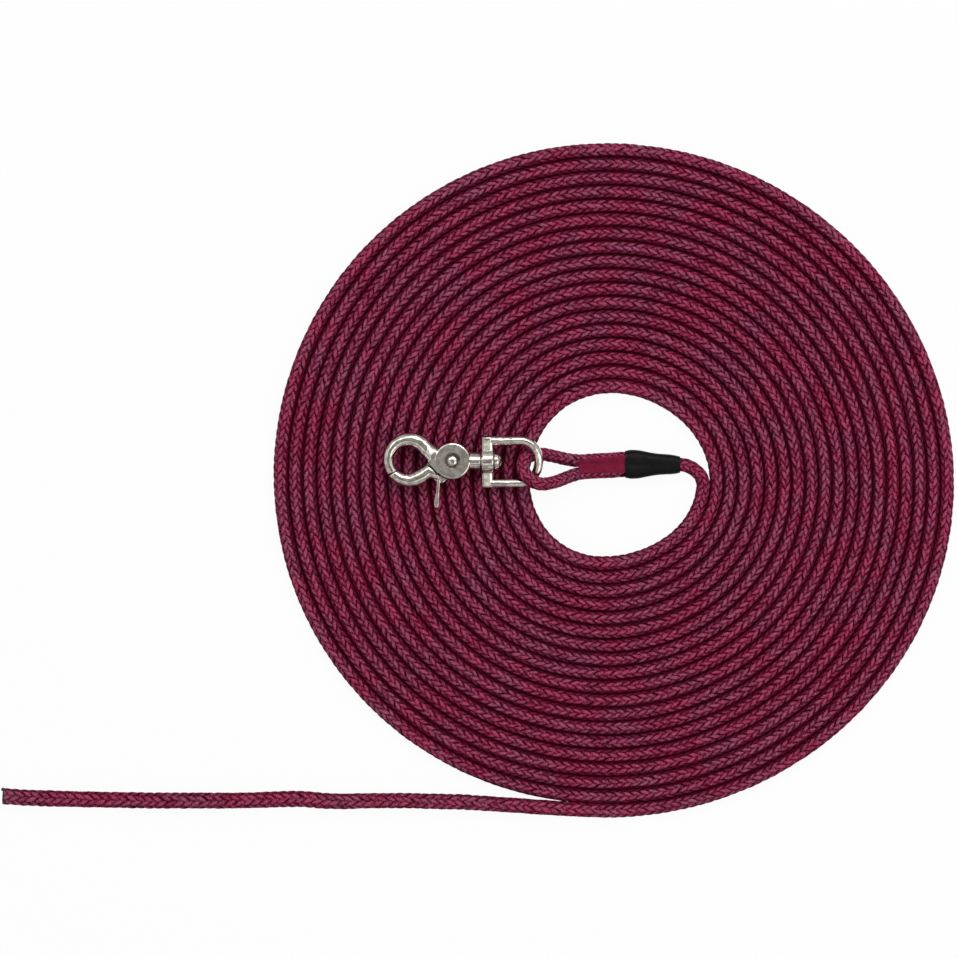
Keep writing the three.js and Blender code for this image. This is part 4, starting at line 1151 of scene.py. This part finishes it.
hook_cuts = [
    *[disc(RECESS_RADIUS, RECESS_CUT, EDGE, side * recess_middle) for side in (1, -1)],
    disc(RIVET_BORE, BOSS_THICKNESS + 1, EDGE),
    along_x(lathe([(PIN_BORE, 0), (PIN_BORE, PIN_BORE_DEPTH)], 48), PIN_BORE_START),
]
hook_body = cast("hook_casting", [
    disc(BOSS_RADIUS, BOSS_THICKNESS, 0.7), loft(upper),
    slab([CHEEK_TOP, CHEEK_LOW, (0, 0), on_boss(0.9, 120)], CHEEK_THICKNESS),
    along_x(lathe(rounded_edge(NECK_RADIUS, NECK_LENGTH, 0.5)), NECK_FROM),
], VOXEL, 7)
for cuts in ([disc(SLOT_RADIUS, SLOT_WIDTH, EDGE)], [slab(slot_fan, SLOT_WIDTH)], hook_cuts):
    hook_body = cut(hook_body, "hook_casting", cuts)
finished(hook_body, nickel, "hook", "hook_body")

# %% [markdown]
# ## The gate
# The swinging jaw is one casting with its thumb lever: the jaw closes the ring from below, the lever hangs
# down beside it, and a thin hub turns between the hook's two cheeks. Its lever is curved and thickens at
# the end, so that a gloved thumb finds it. The jaw is cut back by a running gap wherever the boss and the
# cheek come near, and that leaves the slit between the two jaws, which painted crevice shade makes dark.

# %% Cast the gate
JAW_ROOT, GATE_HUB, GATE_THICKNESS, POCKET_RADIUS, POCKET_DEPTH = 285, 4.75, 2.6, 3.3, 2.4
# The lever's outline, as shares across its width and along its length, upwards or downwards from its root
LEVER_ROOT, LEVER_WIDTH, LEVER_LENGTH, LEVER_RISE = (-5.6, -7.6), 1.6, 10.9, 3.8
LEVER = [(-0.1, 0.95), (-1.1, 0.55), (-0.36, 0.06), (-0.36, -0.25), (-0.6, -0.55), (-0.92, -0.82),
         (-0.82, -0.96), (-0.5, -1), (-0.05, -0.97), (0.16, -0.8), (0.2, -0.55), (0.36, -0.25), (0.62, 0.02),
         (1.4, 0.06), (2.4, 0.08), (2.6, 0.4)]
corner = CHEEK_TOP + (-RUNNING_GAP / 2, -3 * RUNNING_GAP)
root = on_opening(JAW_ROOT)
lower = jaw((TIP_INNER + TIP_SLIT * RING[2] / OPENING[2] / 2, JAW_ROOT), (TIP_OUTER + TIP_SLIT, 273), 24)
lower += [jaw_ring(mix(root, corner, 0.4) + (0, -0.6 * RUNNING_GAP), on_ring(288)),
          jaw_ring(mix(root, corner, 0.72) + (0, -0.5 * RUNNING_GAP), on_ring(303)),
          jaw_ring(corner, on_ring(317)),
          jaw_ring(on_boss(1, 196), on_boss(1.3, 240))]
lever_points = []
for across, along in LEVER:
    reach = LEVER_LENGTH if along < 0 else LEVER_RISE
    lever_points.append((LEVER_ROOT[0] + across * LEVER_WIDTH, LEVER_ROOT[1] + along * reach, 0))
lever_line = smooth_through(lever_points, 6)[:, :2]
cheek_run = (CHEEK_LOW - CHEEK_TOP) / np.linalg.norm(CHEEK_LOW - CHEEK_TOP)
cheek_off = 2.5 * RUNNING_GAP * np.array([cheek_run[1], -cheek_run[0]])
cheek_side = [CHEEK_TOP + cheek_off - cheek_run * BOSS_RADIUS,
              CHEEK_LOW + cheek_off + cheek_run * RUNNING_GAP, (0, 0), (0, BOSS_RADIUS)]
gate = cast("gate_casting", [loft(lower), slab(lever_line, SLOT_WIDTH)], VOXEL, 6)
for cuts in ([disc(BOSS_RADIUS + RUNNING_GAP, BOSS_THICKNESS, EDGE)], [slab(cheek_side, BOSS_THICKNESS)]):
    gate = cut(gate, "gate_casting", cuts)
web_from, web_to = polar(0, 0, GATE_HUB * 0.97, 183), polar(0, 0, GATE_HUB * 0.97, 268)
web = slab([web_from, CHEEK_TOP + (-RUNNING_GAP, -3 * RUNNING_GAP), on_boss(1.48, 216), on_boss(1.42, 238),
            on_boss(1.27, 248), web_to, (0, 0)], GATE_THICKNESS)
hub = sealed(solid_object("hub", [web, disc(GATE_HUB, GATE_THICKNESS, 0.1)]))
gate = combined(gate, "gate_casting", hub, "UNION")
gate = cast("gate_casting", gate, VOXEL, 2)
gate = cut(gate, "gate_casting", [disc(RIVET_BORE, 4, EDGE), disc(POCKET_RADIUS, POCKET_DEPTH, EDGE, 0.4)])
finished(gate, nickel, "gate", "gate")

# %% [markdown]
# ## Rivet, spring and swivel pin
# The rivet and the pin are turned parts with domed heads, so each is one lathe profile. The torsion spring
# sits in the gate's pocket round the rivet. It can't be seen in the photograph, but the gate wouldn't close
# without it.

# %% Turn the rivet and the pin, and wind the spring
RIVET_HEAD, RIVET_SHANK, RIVET_RISE = 2.25, 1.6, 1.4
PIN_HEAD, PIN_SHANK, PIN_RISE, PIN_HEAD_START, PIN_SHANK_START = 3.3, 2, 3.2, 16.6, 6.0
SPRING_RADIUS, SPRING_WIRE, SPRING_TURNS, SPRING_PITCH = 2.5, 0.225, 2.5, 0.55


def dome(radius, height, steps=12):
    """A domed head's profile, from its rim to its crown."""
    rim = height / 4
    return [(max(radius * math.cos(a), 0.01), rim + (height - rim) * math.sin(a))
            for a in np.linspace(0, math.pi / 2, steps)]


rivet_floor = BOSS_THICKNESS / 2 - RECESS_DEPTH + 0.3
head = [(r, rivet_floor + h) for r, h in dome(RIVET_HEAD, RIVET_RISE)]
upper_half = [(RIVET_SHANK, rivet_floor), (RIVET_HEAD, rivet_floor), *head]
rivet_profile = [*[(r, -h) for r, h in reversed(upper_half)], *upper_half]
rivet = sealed(solid_object("gate_rivet_turned", [lathe(rivet_profile, 64)]))
finished(rivet, nickel, "hook", "gate_rivet")
pin_length = PIN_HEAD_START - PIN_SHANK_START
pin_profile = [(0.01, 0), (PIN_SHANK, 0), (PIN_SHANK, pin_length), (PIN_HEAD, pin_length),
               *[(r, pin_length + h) for r, h in dome(PIN_HEAD, PIN_RISE)]]
pin = sealed(solid_object("swivel_pin_turned", [along_x(lathe(pin_profile, 64), PIN_SHANK_START)]))
finished(pin, nickel, "hook", "swivel_pin")
shade_crevices([hook_body, gate, rivet])
turns = np.linspace(0, SPRING_TURNS, 121)
angle = 2 * math.pi * turns
x, y = SPRING_RADIUS * np.cos(angle), SPRING_RADIUS * np.sin(angle)
coils = np.stack([x, y, SPRING_PITCH * (turns - 0.5)], 1)
spring = sealed(solid_object("gate_spring_wire", [bar(coils, SPRING_WIRE, 12)]))
finished(spring, spring_steel, "hook", "gate_spring")

# %% [markdown]
# ## The bail
# The bail is a stirrup: a flat cross bar with a round barrel in its middle for the swivel pin, and a round
# wire that runs down one arm, round the bow that the rope's eye goes through, and back. It lies a little
# rolled over, by twelve degrees, as it does in the photograph, and its lower arm stands off a little more.

# %% Cast the bail
ROLL, WIRE, UPPER_ARM, LOWER_ARM, ARM_END, BOW_REACH = 12, 1.75, 8.2, 8.95, 27.3, 7.0
BASE_X, BASE_DEPTH, BASE_ROUND, BARREL = 11.55, 4.75, 1.8, 4.75
BAR_ENDS = ((9.9, 0.75), (9.6, 0.95), (8.9, 1), (0, 1), (-9.6, 1), (-10.2, 0.95), (-10.5, 0.75))
bow = [(ARM_END + BOW_REACH * math.cos(a), (LOWER_ARM if a < 0 else UPPER_ARM) * math.sin(a), 0)
       for a in np.linspace(-math.pi / 2, math.pi / 2, 49)]
arm_start = BASE_X + 2.4
arms = even_steps(np.array([(arm_start, -LOWER_ARM, 0), *bow, (arm_start, UPPER_ARM, 0)]), 0.4)
turn = np.linspace(0, 2 * math.pi, 36, endpoint=False)
deep = squared(turn, 0.55)[0] * BASE_DEPTH / 2 + BASE_X + BASE_DEPTH / 2
thick = squared(turn, 0.7)[1] * BASE_ROUND
bar_rings = [np.stack([deep, np.full(len(turn), y), thick * size], 1) for y, size in BAR_ENDS]
bail = cast("bail_casting", [rolled(s, ROLL) for s in (
    bar(arms, WIRE), loft(bar_rings),
    along_x(lathe(rounded_edge(BARREL, BASE_DEPTH, 0.6)), BASE_X))], VOXEL, 6,
    [along_x(lathe([(PIN_BORE, 0), (PIN_BORE, BASE_DEPTH + 2)], 48), BASE_X - 1)])
shade_crevices([bail, pin])
finished(bail, nickel, "bail", "bail")

# %% [markdown]
# ## The sleeve
# A length of black shrink tube covers the end of the seam, where the cut end of the rope is. It was shrunk
# with hot air, so it clings: wide over two ropes, narrow over one, with a soft hollow between the two legs.
# The surface is satin, with fine creases that vary its gloss. The middle is left plain.

# %% Shrink the sleeve
# Each station is a place along the seam and half the sleeve's width there.
SLEEVE = [(4.8, 5.3), (6.3, 5.66), (7.8, 5.76), (9.5, 5.68), (11.2, 5.45), (13, 5.08), (14.7, 4.75),
          (17, 4.38), (19, 4.17), (21, 4.05), (22.7, 3.95), (24.5, 3.72), (25.7, 3.5), (26.6, 3.25)]
SLEEVE_HALF_HEIGHT, SLEEVE_WALL, SLEEVE_FULLNESS = 3.1, 0.5, 0.72
HOLLOW, HOLLOW_HALF_WIDTH, LIP = 0.13, 1.5, 0.1
NARROW_HALF_WIDTH, WIDENING = 3.2, 2.3
SLEEVE_MIDDLE, SLEEVE_DRIFT, DRIFTS = 6.64, 0.14, (20, 26.6)
stations = smooth_through([(x, w, 0) for x, w in SLEEVE], 8)[:, :2]
turn = np.linspace(0, 2 * math.pi, 64, endpoint=False)


def sleeve_ring(x, half_width, inset):
    """A section of the sleeve, with a hollow along its middle where it spans two legs of rope."""
    wide = (half_width - NARROW_HALF_WIDTH) / WIDENING
    middle = SLEEVE_MIDDLE - SLEEVE_DRIFT * eased(np.array(x), *DRIFTS)
    across, high = squared(turn, SLEEVE_FULLNESS)
    across, high = across * (half_width - inset), high * (SLEEVE_HALF_HEIGHT - inset)
    high *= 1 - HOLLOW * wide * np.exp(-(across / HOLLOW_HALF_WIDTH) ** 2)
    return np.stack([np.full(len(turn), x), middle + across, SEAM_HEIGHT + high], 1)


skin = [sleeve_ring(x, w, 0) for x, w in stations]
lining = [sleeve_ring(x, w, SLEEVE_WALL) for x, w in stations]
lip_in = [sleeve_ring(stations[0][0] - LIP, stations[0][1], SLEEVE_WALL / 2)]
lip_out = [sleeve_ring(stations[-1][0] + LIP, stations[-1][1], SLEEVE_WALL / 2)]
rings = [*skin, *lip_out, *reversed(lining), *lip_in]
sides = len(turn)
faces = [(r * sides + s, r * sides + (s + 1) % sides, (r + 1) % len(rings) * sides + (s + 1) % sides,
          (r + 1) % len(rings) * sides + s) for r in range(len(rings)) for s in range(sides)]
sleeve = sealed(mesh_object("shrunk_sleeve", np.vstack(rings), faces))
black_satin, tree, principled = new_material("black_shrink_tube")
place = place_of(tree)
crease = noise(tree, place, 700, 3.0, (2.2, 0.7, 0.7))
cloudy = noise(tree, place, 180, 2.0)
black = tinted(tree, cloudy, (0.0030, 0.0030, 0.0032), (0.0085, 0.0072, 0.0078))
tree.links.new(black, principled.inputs["Base Color"])
tree.links.new(eased_node(tree, crease, 0.3, 0.7, 0.36, 0.52), principled.inputs["Roughness"])
tree.links.new(bumped(tree, crease, 0.00025), principled.inputs["Normal"])
principled.inputs["Specular IOR Level"].default_value = 0.10
finished(sleeve, black_satin, "rope", "shrink_sleeve", 60)

# %% [markdown]
# ## The seam
# The eye is closed by machine stitches: one thread on top that runs across both legs of the rope and back
# again, and one underneath. Its legs lie side by side, each pair joined by a small round turn at the rope's
# edge. The thread has the rope's colour. It is pulled tight, so it dips a little where the two legs meet.

# %% Sew the seam
SEAM_FROM, SEAM_TO, STITCH_SPACING, THREAD = -13.5, 5.4, 0.42, 0.2
SEAM_HALF_WIDTH = [-13.5, -9, 4], [2.4, 3.0, 3.4]
SEAM_MIDDLE = [-13, 4], [5.75, 6.85]
LEG_SHARES = (-0.9, -0.6, -0.3, 0, 0.3, 0.6, 0.9)
LEG_SLANT, LEG_OFF, LEG_RADIUS, DIP = 0.08, 2.45, 2.6, 2.0


def seam_thread(name, side):
    """One row of legs and round turns, above the rope for side 1 and below it for side -1. The row gets
    narrower towards the bow."""
    points = []
    for i in range(int((SEAM_TO - SEAM_FROM) / STITCH_SPACING)):
        x, way = SEAM_FROM + i * STITCH_SPACING, (1, -1)[i % 2]
        reach = way * float(np.interp(x, *SEAM_HALF_WIDTH))
        points += [(x + LEG_SLANT * share * way, share * reach) for share in LEG_SHARES]
        points.append((x + STITCH_SPACING / 2, reach))
    x, across = np.array(points).T
    off_leg = np.abs(np.abs(across) - LEG_OFF)
    rise = np.maximum(np.sqrt(np.maximum(LEG_RADIUS ** 2 - off_leg ** 2, 0)), DIP) + THREAD * 0.7
    line = np.stack([x, np.interp(x, *SEAM_MIDDLE) + across, SEAM_HEIGHT + side * rise], 1)
    return sealed(mesh_object(name, *bar(even_steps(smooth_through(line, 4), 0.16), THREAD, 7)))


THREAD_TONES = (0.13, 0.0005, 0.018), (0.33, 0.012, 0.062)
sewing_thread = grained("sewing_thread", 5200, 1.0, THREAD_TONES, 0.00006, 0.5, 0.2, (1.0, 0.35, 1.0))
for name, side, node in (("top_thread", 1, "needle_thread"), ("under_thread", -1, "bobbin_thread")):
    finished(seam_thread(name, side), sewing_thread, "rope", node, 80)

# %% [markdown]
# ## The cut end
# The far end of the rope is cut with a hot knife. The heat fuses the filaments into a hard dark cap with a
# small drip on its rim, which keeps the braid from fraying.

# %% Melt the cut end
# Each ring of the cap is a distance past the rope's end and a share of the cap's radius.
CAP_RINGS = ((-0.9, 0.84), (-0.75, 0.97), (-0.5, 1.0), (-0.25, 0.99), (0, 0.95), (0.15, 0.85), (0.2, 0.4),
             (0.22, 0.02))
CAP_RADIUS, CAP_FLAT, DRIP, DRIP_OFF = (TAIL_WIDTH + 0.2) / 2, 0.9, 0.75, 2.75
end_at, end_along, end_side, end_up = run.line[-1], run.along[-1], run.side[-1], run.up[-1]
turn = np.linspace(0, 2 * math.pi, 40, endpoint=False)
lumpy = 1 + 0.025 * np.sin(3 * turn + 1) + 0.02 * np.sin(7 * turn)
rim = lumpy[:, None] * (np.cos(turn)[:, None] * end_side + CAP_FLAT * np.sin(turn)[:, None] * end_up)
rings = [end_at + end_along * past + CAP_RADIUS * share * rim for past, share in CAP_RINGS]
drip_at = end_at + DRIP_OFF * np.array([0, 1, 0]) + end_along * 0.1
ball = lathe([(max(DRIP * math.sin(a), 0.01), -DRIP * math.cos(a)) for a in np.linspace(0, math.pi, 12)], 16)
cap_points, cap_faces = loft(rings)
cap_faces = list(cap_faces) + [tuple(len(cap_points) + i for i in face) for face in ball[1]]
cap = sealed(mesh_object("melted_end", np.vstack([cap_points, ball[0] + drip_at]), cap_faces))
CHAR_TONES = (0.012, 0.001, 0.003), (0.055, 0.006, 0.016)
melted = grained("melted_polyester", 900, 3.0, CHAR_TONES, 0.0004, 0.38)
finished(cap, melted, "rope", None, 60)

# %% [markdown]
# ## The rope's pieces
# All of the rope from the sleeve to the cut end rides on the rope's body; with its eye it is ten metres long.
# The eye is different: it goes round the bow, and its two legs lie in the seam. Its pieces keep their place,
# with their transforms applied to their points. The CAD model's rope parts are hidden.

ALL_BRAID = [*coil_braid, *tail_braid]
for piece in (rope_core, *ALL_BRAID):
    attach(piece, "rope")
for piece in (eye_core, *eye_braid):
    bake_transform(piece)
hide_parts("rope_coil", "rope_tail", "rope_lead")
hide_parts("rope_eye")
print("rope from sleeve to cut end, m:", round(run.length * MM, 3))
